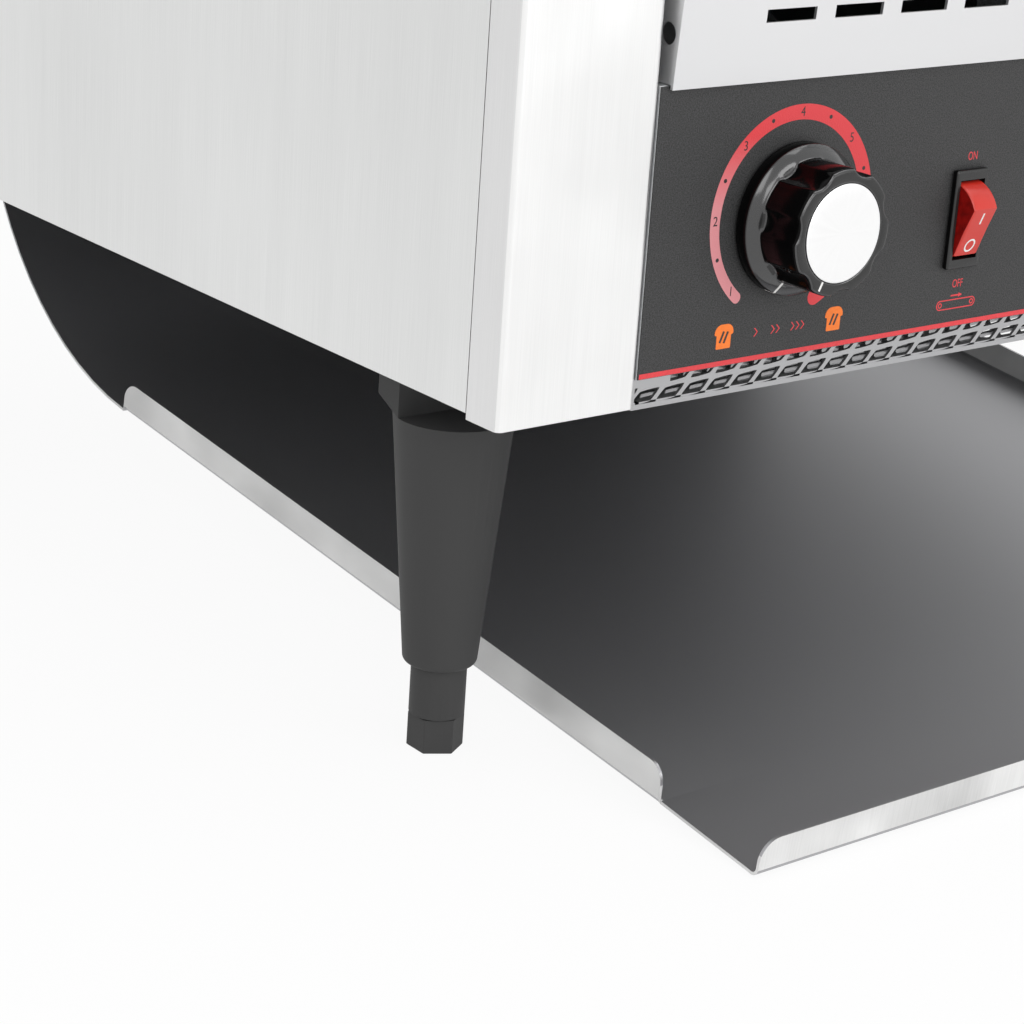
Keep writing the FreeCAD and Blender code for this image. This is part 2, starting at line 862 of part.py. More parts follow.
def rocker(x):
    """One rocker with its pivot pins, tipped to its off side."""
    swing = math.hypot(rocker_face, rocker_half_length)
    half_angle = math.atan2(rocker_half_length, rocker_face)
    tip = math.radians(rocker_tilt)
    heel = math.radians(rocker_heel)
    centre = (film_y + rocker_pivot_depth, rocker_z)

    def point(angle):
        return Vector(x - rocker_half_width, centre[0] - swing * math.cos(angle),
                      centre[1] + swing * math.sin(angle))

    upper = half_angle - tip
    lower = -half_angle - tip
    edges = [Part.LineSegment(point(upper), point(lower)).toShape(),
             Part.Arc(point(lower), point(lower - heel / 2), point(lower - heel)).toShape(),
             Part.LineSegment(point(lower - heel), point(upper + heel)).toShape(),
             Part.Arc(point(upper + heel), point(upper + heel / 2), point(upper)).toShape()]
    solid = upright(Part.Face(Part.Wire(edges)).extrude(Vector(2 * rocker_half_width, 0, 0)))
    reach = rocker_half_width + pivot_pin_reach
    pin = rod(pivot_pin_radius, (x - reach, centre[0], centre[1]), (x + reach, centre[0], centre[1]))
    return merge([solid, pin])


def switch_tabs(x):
    """The push-on tabs at the back of one rocker housing."""
    tabs = []
    for i in range(tab_count):
        z = rocker_z + (i - (tab_count - 1) / 2) * tab_spread
        tabs.append(block((x - tab_width / 2, film_y + housing_depth, z - tab_thickness / 2),
                          (x + tab_width / 2, film_y + housing_depth + tab_length, z + tab_thickness / 2)))
    return tabs


# Toast tray

def tray_point(along_floor, above):
    """A point of the tilted tray, from the foot of its front lip."""
    return (tray_foot_y + along_floor * math.cos(tray_slope) - above * math.sin(tray_slope),
            tray_foot_z + along_floor * math.sin(tray_slope) + above * math.cos(tray_slope))


def chute_centre():
    """The centre of the curve at the tray's rear."""
    return tray_point(floor_run, chute_radius)


def chute_back_y():
    """The rear face of the tray's upright end."""
    return chute_centre()[0] + chute_radius


def hanger_top_z():
    """The upper edge of the hanger's blade, which the tray hooks over."""
    return base_z + hook_height


def toast_tray():
    """One sheet: front lip, floor, curved chute, hook, and flanges along both sides."""
    start = tray_point(0, 0)
    back = chute_back_y()
    knee_z = start[1] + (back - start[0]) * math.tan(tray_slope)
    hook_z = hanger_top_z() + fit_gap + sheet
    blade_back = back + hook_gap + wall
    end_y = blade_back + hook_slack + sheet
    path = [start, (back, knee_z), (back, hook_z), (end_y, hook_z), (end_y, hanger_top_z() - hook_drop)]
    pieces = [bent_chute(path, chute_radius - sheet)]
    angle = math.degrees(tray_slope)
    lip = prism([(-tray_half_width, 0), (tray_half_width, 0), (tray_half_width, tray_lip),
                 (-tray_half_width, tray_lip)],
                [0, 0, tray_corner, tray_corner], "XZ", 0, sheet)
    lip.rotate(Vector(0, 0, 0), Vector(1, 0, 0), angle)
    lip.translate(Vector(0, start[0], start[1]))
    pieces.append(lip)
    outline = [tray_point(tray_flange_start, 0), tray_point(floor_run, 0),
               tray_point(floor_run, tray_flange), tray_point(tray_flange_start, tray_flange)]
    for side in (-1, 1):
        edges = (side * tray_half_width, side * (tray_half_width - sheet))
        pieces.append(prism(outline, [0, 0, tray_corner, tray_corner], "YZ", min(edges), max(edges)))
    return merge(pieces)


def bent_chute(path, knee_inside):
    """The tray's long sheet: its wide curve and its small hook bends."""
    lower = bent_sheet(path[:3], sheet, [knee_inside], "YZ", -tray_half_width, tray_half_width)
    upper = bent_sheet([(path[2][0] - sheet, path[2][1] - sheet), (path[2][0] - sheet, path[2][1]),
                        path[3], path[4]], -sheet, [0, fit_gap], "YZ", -tray_half_width, tray_half_width)
    return merge([lower, upper])


def tray_hanger():
    """The cross rail at the back that carries the tray's hook."""
    blade = chute_back_y() + hook_gap
    top = hanger_top_z()
    low = top - hanger_depth
    back = rear_y - sheet
    path = [(blade, top), (blade, low), (back, low), (back, low + hanger_flange)]
    return bent_sheet(path, wall, [bend_radius, bend_radius], "YZ", -inner_x, inner_x)


# Legs

def leg_places():
    """The four leg axes as (name, x, y, direction towards the middle)."""
    x = half_width - leg_inset_x
    front = front_y + front_leg_inset
    rear = rear_y - rear_leg_inset
    return [("front_left", -x, front, 1), ("front_right", x, front, 1),
            ("rear_left", -x, rear, -1), ("rear_right", x, rear, -1)]


def leg(x, y, inward):
    """A tapered leg with its flat head, its sleeve, and bores for stud and bolts."""
    profile = [(base_z - leg_sleeve_drop, 0), (base_z - leg_sleeve_drop, sleeve_radius),
               (base_z - leg_cone_drop, sleeve_radius), (base_z - leg_cone_drop, leg_cone_radius),
               (base_z - leg_rim_drop, leg_rim_radius), (base_z - leg_rim_drop, 0)]
    cone = turned(profile, [0, 0, 0, leg_round, 0, 0], Vector(x, y, 0), Vector(0, 0, 1))
    rim_z = base_z - leg_rim_drop
    outline = [(y + inward * head_front, rail_z), (y + inward * head_back, rail_z),
               (y + inward * head_back, rim_z + head_slope), (y + inward * head_front, rim_z)]
    head = prism(outline, None, "YZ", x - head_half_width, x + head_half_width)
    core = rod(leg_rim_radius, (x, y, rim_z), (x, y, rim_z + head_slope))
    core = core.common(block((x - head_half_width, y + inward * head_front, rim_z),
                             (x + head_half_width, y + inward * head_back, rim_z + head_slope)))
    stud = rod(foot_stud_radius + screw_fit, (x, y, base_z - leg_sleeve_drop - overrun),
               (x, y, base_z - leg_sleeve_drop + foot_stud_length + overrun))
    bolts = [rod(bolt_radius + screw_fit, (bx, by, rail_z - bolt_length - overrun),
                 (bx, by, rail_z + overrun))
             for bx, by in bolt_places(x, y, inward)]
    return clear(merge([cone, head, core]), [stud] + bolts)


def bolt_places(x, y, inward):
    """The two bolts that hold one leg's head to its rail."""
    return [(x + step * bolt_spread, y + inward * leg_head_y) for step in (-1, 1)]


def screw_foot(x, y):
    """A hexagonal foot on a threaded stud."""
    height = base_z - leg_sleeve_drop - fit_gap
    pad = hexagon(foot_flats, Vector(x, y, 0), height, Vector(0, 0, 1))
    stud = rod(foot_stud_radius, (x, y, 0), (x, y, height + foot_stud_length))
    return merge([pad, stud])


def leg_bolts():
    """The hexagonal bolts through the rails into the leg heads."""
    bolts = []
    for _, x, y, inward in leg_places():
        for bx, by in bolt_places(x, y, inward):
            top = rail_z + heavy_sheet
            head = hexagon(bolt_head_flats, Vector(bx, by, top), bolt_head_height, Vector(0, 0, 1))
            bolts.append(merge([head, rod(bolt_radius, (bx, by, rail_z - bolt_length), (bx, by, top))]))
    return bolts


# Inner frame

def base_rail(side):
    """The rail under one side compartment, which the legs are bolted to."""
    outer = side * (half_width - 2 * sheet - fit_gap)
    inner = side * wall_x
    path = [(outer, rail_z), (inner, rail_z), (inner, rail_z + rail_flange)]
    start = front_y + rail_setback
    end = rear_y - 2 * sheet - fit_gap
    rail = bent_sheet(path, -side * heavy_sheet, [bend_radius], "XZ", start, end)
    holes = []
    for _, x, y, inward in leg_places():
        for bx, by in bolt_places(x, y, inward):
            holes.append(rod(bolt_radius + fit_gap, (bx, by, rail_z - overrun),
                             (bx, by, rail_z + 2 * overrun)))
    return clear(rail, holes)


def inner_wall(side):
    """The upright plate that carries shafts, heaters and reflectors on one side."""
    start = front_y + column_return
    end = rear_y - sheet
    outline = [(start, rail_z), (end, rail_z), (end, top_z - sheet), (start, top_z - sheet)]
    holes = [(y, conveyor_z, bush_radius + screw_fit) for y in (idler_y, drive_y)]
    for y in tube_ys:
        holes += [(y, z, tube_radius + tube_hole_gap) for z in (conveyor_z, upper_tube_z)]
    if side > 0:
        holes.append((motor_y, motor_z, gearbox_boss_radius + fit_gap))
        holes += [(y, z, screw_radius + screw_fit) for y, z in gearbox_screw_places()]
    else:
        holes.append((terminal_y(), gland_z, loom_hole_radius))
    edges = (side * inner_x, side * wall_x)
    return prism(outline, None, "YZ", min(edges), max(edges), holes)


def heat_shield():
    """The sheet over the electrics, turned down behind them as a bulkhead."""
    start = front_y + shield_setback
    end = front_y + guard_depth + wall
    z = base_z + shield_height
    path = [(start, z + shield_lip), (start, z), (end, z), (end, base_z + sheet + fit_gap)]
    lip = block((-inner_x, start, z), (inner_x, start + wall, z + shield_lip))
    fold = bent_sheet(path[1:], -wall, [bend_radius], "YZ", -inner_x, inner_x)
    return merge([lip, fold])


def rear_deflector():
    """The upright sheet that turns the toast down into the chute."""
    y = rear_y - deflector_setback
    return block((-inner_x, y - sheet, base_z + deflector_foot), (inner_x, y, base_z + deflector_top))


def component_plate():
    """The cross plate behind the controls, folded up against the inner walls."""
    z = base_z + plate_height
    path = [(-inner_x, z + plate_flange), (-inner_x, z), (inner_x, z), (inner_x, z + plate_flange)]
    plate = bent_sheet(path, wall, [bend_radius, bend_radius], "XZ", front_y + plate_start,
                       front_y + plate_end)
    return plate.cut(rod(loom_hole_radius, (-inner_x - overrun, terminal_y(), gland_z),
                         (-inner_x + wall + overrun, terminal_y(), gland_z)))


# Conveyor

def loop_points(span, radius, steps, run_pitches, pitch):
    """Points one pitch apart round a loop over two equal wheels, from the first wheel's centre."""
    points = [(pitch * i, radius) for i in range(run_pitches + 1)]
    points += [(pitch * i, -radius) for i in range(run_pitches + 1)]
    for i in range(1, steps):
        angle = math.pi / 2 + math.pi * i / steps
        points.append((radius * math.cos(angle), radius * math.sin(angle)))
        points.append((span - radius * math.cos(angle), radius * math.sin(angle)))
    return points


def stadium(y, z, span, radius, plane, depth):
    """The closed outline of a loop over two equal wheels."""
    top = Part.LineSegment(along((y, z + radius), plane, depth), along((y + span, z + radius), plane, depth))
    right = Part.Arc(along((y + span, z + radius), plane, depth),
                     along((y + span + radius, z), plane, depth),
                     along((y + span, z - radius), plane, depth))
    low = Part.LineSegment(along((y + span, z - radius), plane, depth), along((y, z - radius), plane, depth))
    left = Part.Arc(along((y, z - radius), plane, depth), along((y - radius, z), plane, depth),
                    along((y, z + radius), plane, depth))
    return Part.Wire([edge.toShape() for edge in (top, right, low, left)])


def loop_band(y, z, span, radius, height, low, high):
    """A closed band of rectangular section round a loop."""
    wires = [stadium(y, z, span, radius + height / 2, "YZ", low),
             stadium(y, z, span, radius - height / 2, "YZ", low)]
    face = Part.makeFace(wires, "Part::FaceMakerBullseye")
    return upright(face.extrude(Vector(high - low, 0, 0)))


def conveyor_belt():
    """Cross rods one pitch apart, held in step by link bands."""
    span = drive_y - idler_y
    rods = []
    for y, z in loop_points(span, pitch_radius, belt_turn_pitches // 2, belt_run_pitches, belt_pitch):
        rods.append(rod(belt_rod_radius, (-belt_half_width, idler_y + y, conveyor_z + z),
                        (belt_half_width, idler_y + y, conveyor_z + z)))
    bands = []
    reach = belt_half_width - 2 * belt_band_width
    for i in range(belt_bands):
        x = -reach + 2 * reach * i / (belt_bands - 1)
        bands.append(loop_band(idler_y, conveyor_z, span, pitch_radius, belt_band_height,
                               x - belt_band_width / 2, x + belt_band_width / 2))
    return merge(bands + rods)


def ribbed_roller(x, y, z):
    """A ribbed roller on an axis along X, its ribs just inside the belt's rods."""
    tip = pitch_radius - belt_rod_radius - fit_gap
    root = tip - roller_rib_height
    points = []
    for i in range(roller_ribs):
        middle = 2 * math.pi * i / roller_ribs
        for reach, half in ((root, -roller_rib_root / 2), (tip, -roller_rib_tip / 2),
                            (tip, roller_rib_tip / 2), (root, roller_rib_root / 2)):
            turn = math.asin(half / reach)
            points.append((y + reach * math.cos(middle + turn), z + reach * math.sin(middle + turn)))
    disc = prism(points, None, "YZ", x - roller_width / 2, x + roller_width / 2)
    hub = rod(roller_hub_radius, (x - roller_hub_width / 2, y, z), (x + roller_hub_width / 2, y, z))
    hole = rod(shaft_radius + shaft_fit, (x - roller_hub_width, y, z), (x + roller_hub_width, y, z))
    return merge([disc, hub]).cut(hole)


def belt_rollers(y):
    """The rollers that carry the belt on one shaft, each midway between two link bands."""
    reach = belt_half_width - 2 * belt_band_width
    step = 2 * reach / (belt_bands - 1)
    places = [(i + 1 / 2) * step - reach for i in range(belt_bands - 1)]
    chosen = places[:roller_count // 2] + places[-(roller_count // 2):]
    return [ribbed_roller(x, y, conveyor_z) for x in chosen]


def drive_shaft():
    """The rear shaft, long enough on the right to carry its pulley."""
    return rod(shaft_radius, (-wall_x - shaft_overhang, drive_y, conveyor_z),
               (wall_x + drive_overhang, drive_y, conveyor_z))


def idler_shaft():
    """The front shaft."""
    return rod(shaft_radius, (-wall_x - shaft_overhang, idler_y, conveyor_z),
               (wall_x + shaft_overhang, idler_y, conveyor_z))


def shaft_bushes():
    """The flanged bushes of both shafts in both inner walls."""
    bushes = []
    for side in (-1, 1):
        for y in (idler_y, drive_y):
            sleeve = rod(bush_radius, (side * (inner_x - bush_inner), y, conveyor_z),
                         (side * wall_x, y, conveyor_z))
            flange = rod(bush_flange_radius, (side * wall_x, y, conveyor_z),
                         (side * (wall_x + bush_flange), y, conveyor_z))
            bore = rod(shaft_radius + shaft_fit, (side * (inner_x - bush_inner - overrun), y, conveyor_z),
                       (side * (wall_x + bush_flange + overrun), y, conveyor_z))
            bushes.append(merge([sleeve, flange]).cut(bore))
    return bushes


# Drive

def pulley(y, z, bore):
    """One of the two equal flanged pulleys of the drive belt."""
    half = drive_belt_width / 2 + fit_gap
    pieces = [rod(pulley_radius, (pulley_x - half, y, z), (pulley_x + half, y, z))]
    for side in (-1, 1):
        pieces.append(rod(pulley_flange_radius, (pulley_x + side * half, y, z),
                          (pulley_x + side * (half + pulley_flange), y, z)))
    pieces.append(rod(pulley_hub_radius, (pulley_x, y, z), (pulley_x + pulley_hub_reach, y, z)))
    hole = rod(bore, (pulley_x - pulley_hub_radius, y, z), (pulley_x + pulley_hub_radius, y, z))
    return merge(pieces).cut(hole)


def drive_belt():
    """The flat belt round both pulleys."""
    radius = pulley_radius + fit_gap + drive_belt_thickness / 2
    band = loop_band(motor_y, motor_z, pulley_span, radius, drive_belt_thickness,
                     pulley_x - drive_belt_width / 2, pulley_x + drive_belt_width / 2)
    band.rotate(Vector(pulley_x, motor_y, motor_z), Vector(1, 0, 0), pulley_angle)
    return band


def gearbox_screw_places():
    """The four screws that hold the gearbox to the right inner wall."""
    return [(motor_y + a * gearbox_screw_spread, motor_z + b * gearbox_screw_spread) for a in (-1, 1)
            for b in (-1, 1)]


def gearbox():
    """The gear case against the right inner wall, with its boss through the wall."""
    half = gearbox_size / 2
    case = block((inner_x - gearbox_length, motor_y - half, motor_z - half),
                 (inner_x, motor_y + half, motor_z + half))
    edges = [e for e in case.Edges if abs(e.BoundBox.XLength - gearbox_length) < fit_gap]
    case = case.makeFillet(gearbox_round, edges)
    boss = rod(gearbox_boss_radius, (inner_x - overrun, motor_y, motor_z),
               (wall_x + gearbox_boss, motor_y, motor_z))
    bore = rod(motor_shaft_radius + shaft_fit, (inner_x - motor_shaft_depth, motor_y, motor_z),
               (wall_x + gearbox_boss + overrun, motor_y, motor_z))
    taps = [rod(screw_radius + screw_fit, (inner_x - screw_length, y, z), (inner_x + overrun, y, z))
            for y, z in gearbox_screw_places()]
    return clear(merge([case, boss]), [bore] + taps)


def motor_can():
    """The motor behind the gear case, with its tail bearing."""
    start = inner_x - gearbox_length
    end = start - motor_length
    can = rod(motor_radius, (start, motor_y, motor_z), (end, motor_y, motor_z))
    can = can.makeFillet(motor_tail / 2, [e for e in can.Edges if abs(e.BoundBox.XMax - end) < fit_gap])
    tail = rod(motor_tail_radius, (end, motor_y, motor_z), (end - motor_tail, motor_y, motor_z))
    return merge([can, tail])


def motor_shaft():
    """The output shaft of the gear case."""
    return rod(motor_shaft_radius, (inner_x - motor_shaft_depth + fit_gap, motor_y, motor_z),
               (wall_x + motor_shaft_overhang, motor_y, motor_z))


def gearbox_screws():
    """The screws through the inner wall into the gear case."""
    return [screw(Vector(wall_x, y, z), Vector(1, 0, 0)) for y, z in gearbox_screw_places()]


# Heating

def tube_places(height):
    """The axes of one bank of heating tubes."""
    return [(y, height) for y in tube_ys]


def heating_tubes(height):
    """The hollow quartz tubes of one bank."""
    reach = wall_x + tube_end - fit_gap
    return [pipe(tube_radius, tube_bore, (-reach, y, z), (reach, y, z)) for y, z in tube_places(height)]


def heating_coils():
    """The coils of both banks, each in its tube, with its leads in the end caps."""
    reach = wall_x + tube_end + coil_lead
    coils = []
    for height in (conveyor_z, upper_tube_z):
        coils += [rod(coil_radius, (-reach, y, z), (reach, y, z)) for y, z in tube_places(height)]
    return coils


def end_caps():
    """The ceramic caps on both ends of every tube."""
    caps = []
    for side in (-1, 1):
        for height in (conveyor_z, upper_tube_z):
            for y, z in tube_places(height):
                cap = rod(cap_radius, (side * wall_x, y, z), (side * (wall_x + cap_length), y, z))
                seat = rod(tube_radius + cap_fit, (side * (wall_x - overrun), y, z),
                           (side * (wall_x + tube_end), y, z))
                lead = rod(coil_radius + cap_fit, (side * wall_x, y, z),
                           (side * (wall_x + tube_end + coil_lead + fit_gap), y, z))
                flat = block((side * (wall_x - overrun), y - 2 * cap_radius, z + cap_radius - cap_flat),
                             (side * (wall_x + cap_length + overrun), y + 2 * cap_radius,
                              z + 2 * cap_radius))
                caps.append(clear(cap, [seat, lead, flat]))
    return caps


def reflector(start, end, z, lip):
    """A shallow reflector between the inner walls, its lips up or down."""
    low = front_y + start
    high = front_y + end
    path = [(low, z + lip), (low, z), (high, z), (high, z + lip)]
    thickness = sheet if lip > 0 else -sheet
    return bent_sheet(path, thickness, [bend_radius, bend_radius], "YZ", -inner_x, inner_x)


# Electrics

def terminal_y():
    """The middle of the terminal block, in line with the loom."""
    return front_y + board_start + board_depth / 2


def plate_top():
    """The upper face of the component plate."""
    return base_z + plate_height + wall


def speed_board():
    """The circuit board of the speed control."""
    z = plate_top() + standoff_height
    y = front_y + board_start
    return block((board_left, y, z), (board_left + board_width, y + board_depth, z + board_thickness))


def board_standoffs():
    """The pillars under the board's corners."""
    pillars = []
    for x in (board_left + board_margin, board_left + board_width - board_margin):
        for y in (front_y + board_start + board_margin, front_y + board_start + board_depth - board_margin):
            pillars.append(rod(standoff_radius, (x, y, plate_top()), (x, y, plate_top() + standoff_height)))
    return pillars


def board_parts():
    """The finned heat sink and the capacitors on the board."""
    z = plate_top() + standoff_height + board_thickness
    x = board_left + 3 * board_margin
    y = front_y + board_start + 3 * board_margin
    sink = block((x, y, z), (x + heat_sink_width, y + heat_sink_depth, z + heat_sink_height))
    pitch = heat_sink_width / heat_sink_fins
    half_gap = pitch * heat_sink_gap_share / 2
    gaps = [block((x + pitch * (i + 1 / 2) - half_gap, y - overrun, z + heat_sink_foot),
                  (x + pitch * (i + 1 / 2) + half_gap, y + heat_sink_depth + overrun,
                   z + heat_sink_height + overrun))
            for i in range(heat_sink_fins)]
    parts = [clear(sink, gaps)]
    for i in range(2):
        cx = x + heat_sink_width + capacitor_spread * (i + 1 / 2)
        cy = y + heat_sink_depth / 2
        parts.append(rod(capacitor_radius, (cx, cy, z), (cx, cy, z + capacitor_height)))
    return parts


def terminal_block():
    """The terminal block, open on top over each of its screws."""
    y = terminal_y()
    z = plate_top()
    body = block((terminal_left, y - terminal_depth / 2, z),
                 (terminal_left + terminal_width, y + terminal_depth / 2, z + terminal_height))
    pitch = (terminal_width - terminal_wall) / terminal_cells
    cells = [block((terminal_left + terminal_wall + pitch * i, y - terminal_depth / 2 + terminal_wall,
                    z + terminal_height / 2),
                   (terminal_left + pitch * (i + 1), y + terminal_depth / 2 - terminal_wall,
                    z + terminal_height + overrun)) for i in range(terminal_cells)]
    return clear(body, cells)


def sleeved_run(points, bend):
    """A loom through the given points, with one bend radius at every turn."""
    edges = []
    start = points[0]
    for i in range(1, len(points) - 1):
        corner = points[i]
        back = (points[i - 1] - corner).normalize()
        ahead = (points[i + 1] - corner).normalize()
        half = back.getAngle(ahead) / 2
        reach = bend / math.tan(half)
        first = corner + back * reach
        second = corner + ahead * reach
        middle = (back + ahead).normalize()
        top = corner + middle * (bend / math.sin(half) - bend)
        edges.append(Part.LineSegment(start, first).toShape())
        edges.append(Part.Arc(first, top, second).toShape())
        start = second
    edges.append(Part.LineSegment(start, points[-1]).toShape())
    route = Part.Wire(edges)
    ring = Part.Wire([Part.Circle(points[0], points[1] - points[0], loom_radius).toShape()])
    tube = upright(route.makePipeShell([ring], True, False))
    print("loom volume share", round(tube.Volume / (math.pi * loom_radius ** 2 * route.Length), 4),
          "radius", bend)
    return tube


def supply_loom():
    """The loom from the cord gland to the terminal block."""
    y = terminal_y()
    start = Vector(gland_x, rear_y - sheet - gland_thread_length - gland_clear, gland_z)
    return sleeved_run([start, Vector(gland_x, y, gland_z), Vector(terminal_left - fit_gap, y, gland_z)],
                       loom_bend)


def control_loom():
    """The loom from the terminal block to the first rocker."""
    x = terminal_left + terminal_width / 2
    start = Vector(x, terminal_y() - terminal_depth / 2 - 2 * fit_gap, gland_z)
    end_y = film_y + housing_depth + tab_length + fit_gap
    turn = Vector(x, end_y + loom_front_run, rocker_z)
    return sleeved_run([start, turn, Vector(rocker_x, end_y + loom_front_run / 2, rocker_z),
                        Vector(rocker_x, end_y, rocker_z)], loom_bend / 2)


def cord_gland():
    """The gland in the rear panel: hexagon and dome outside, thread inside, bored through."""
    face = Vector(gland_x, rear_y, gland_z)
    back = Vector(0, 1, 0)
    flange = hexagon(gland_hex_flats, face, gland_hex_height, back)
    dome = rod(gland_dome_radius, (gland_x, rear_y, gland_z), (gland_x, rear_y + gland_reach, gland_z))
    dome = dome.makeFillet(overrun,
                           [e
                            for e in dome.Edges if abs(e.BoundBox.YMin - rear_y - gland_reach) < fit_gap])
    thread = rod(gland_thread_radius, (gland_x, rear_y - sheet - gland_thread_length, gland_z),
                 (gland_x, rear_y, gland_z))
    bore = rod(gland_bore, (gland_x, rear_y - sheet - gland_thread_length - overrun, gland_z),
               (gland_x, rear_y + gland_reach + overrun, gland_z))
    return merge([flange, dome, thread]).cut(bore)


def gland_nut():
    """The nut that holds the gland from inside."""
    nut = hexagon(gland_hex_flats, Vector(gland_x, rear_y - sheet, gland_z), gland_nut_height,
                  Vector(0, -1, 0))
    hole = rod(gland_thread_radius + shaft_fit, (gland_x, rear_y, gland_z),
               (gland_x, rear_y - sheet - gland_nut_height - overrun, gland_z))
    return nut.cut(hole)


# Feed rack

def feed_rack():
    """The wire rack in front of the bread inlet, resting on the cover's bend and ledge."""
    rear = (front_y + rack_start, base_z + ledge_height + rack_frame_radius + fit_gap)
    rise = (base_z + cover_top + rack_lift - rear[1]) / (rear[0] - cover_face_y(cover_top))
    front = (front_y - rack_reach, rear[1] + (rear[0] - front_y + rack_reach) * rise)
    wires = []
    for i in range(rack_wires):
        x = -rack_half_width + 2 * rack_half_width * i / (rack_wires - 1)
        radius = rack_frame_radius if i in (0, rack_wires - 1) else rack_wire_radius
        wires.append(rod(radius, (x, rear[0], rear[1]), (x, front[0], front[1])))
    wires.append(rod(rack_frame_radius, (-inner_x + fit_gap, rear[0], rear[1]),
                     (inner_x - fit_gap, rear[0], rear[1])))
    wires.append(rod(rack_frame_radius, (-rack_half_width - rack_frame_radius, front[0], front[1]),
                     (rack_half_width + rack_frame_radius, front[0], front[1])))
    return merge(wires)


def build():
    """Make every node of the toaster."""
    os.makedirs("parts", exist_ok=True)
    for name, side in (("left", -1), ("right", 1)):
        save(name + "_side_panel", [side_panel(side)])
        save(name + "_front_column", [front_column(side)])
        save(name + "_inner_wall", [inner_wall(side)])
        save(name + "_base_rail", [base_rail(side)])
    save("top_cover", [top_cover()])
    save("rear_panel", [rear_panel()])
    save("panel_screws", shell_screws() + gearbox_screws())
    save("control_panel", [control_panel()])
    save("panel_film", [panel_film()])
    save("front_cover", [front_cover()])
    save("bottom_guard", [bottom_guard()])
    save("speed_control", [speed_control()])
    save("knob_shaft", [knob_shaft()])
    save("speed_knob", [speed_knob()])
    save("knob_cap", [knob_cap()])
    for name, x in zip(("train", "upper_heat", "lower_heat"), rocker_xs):
        save(name + "_housing", [rocker_housing(x)])
        save(name + "_rocker", [rocker(x)])
    save("toast_tray", [toast_tray()])
    save("tray_hanger", [tray_hanger()])
    for name, x, y, inward in leg_places():
        save(name + "_leg", [leg(x, y, inward)])
        save(name + "_foot", [screw_foot(x, y)])
    save("leg_bolts", leg_bolts())
    save("heat_shield", [heat_shield()])
    save("rear_deflector", [rear_deflector()])
    save("component_plate", [component_plate()])
    save("conveyor_belt", [conveyor_belt()])
    save("drive_rollers", belt_rollers(drive_y))
    save("idler_rollers", belt_rollers(idler_y))
    save("drive_shaft", [drive_shaft()])
    save("idler_shaft", [idler_shaft()])
    save("shaft_bushes", shaft_bushes())
    save("driven_pulley", [pulley(drive_y, conveyor_z, shaft_radius + shaft_fit)])
    save("motor_pulley", [pulley(motor_y, motor_z, motor_shaft_radius + shaft_fit)])
    save("drive_belt", [drive_belt()])
    save("gearbox", [gearbox()])
    save("motor_can", [motor_can()])
    save("motor_shaft", [motor_shaft()])
    save("quartz_tubes", heating_tubes(upper_tube_z) + heating_tubes(conveyor_z))
    save("heating_coils", heating_coils())
    save("end_caps", end_caps())
    save("reflectors", [reflector(upper_reflector_start, upper_reflector_end,
                                  upper_reflector_z, -upper_reflector_lip),
                        reflector(lower_reflector_start, lower_reflector_end,
                                  conveyor_z - lower_reflector_drop, lower_reflector_lip)])
    save("speed_board", [merge([speed_board()] + board_standoffs() + board_parts())])
    save("terminal_block", [terminal_block()])
    save("wiring_loom", [supply_loom(), control_loom()])
    save("cord_gland", [cord_gland(), gland_nut()])
    save("feed_rack", [feed_rack()])


def report_places():
    """Print the places that the joints and mounts are declared at."""
    print("knob", knob_x, round(film_y, 3), round(knob_z, 3))
    print("rockers", rocker_xs, round(film_y + rocker_pivot_depth, 3), round(rocker_z, 3))
    print("tray pivot", round(chute_back_y() + hook_gap + wall / 2, 3), round(hanger_top_z(), 3))
    print("drive", round(drive_y, 3), "idler", round(idler_y, 3), "height", round(conveyor_z, 3))
    print("motor", round(motor_y, 3), round(motor_z, 3))
    print("legs", [(name, round(x, 2), round(y, 2)) for name, x, y, _ in leg_places()])
    print("gland", gland_x, round(rear_y, 3), round(gland_z, 3))
    print("front", round(front_y, 3), "rear", round(rear_y, 3), "base", base_z, "top", top_z)


build()
report_places()
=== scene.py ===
import logging
import math
from collections.abc import Sequence
from dataclasses import dataclass
from enum import Enum

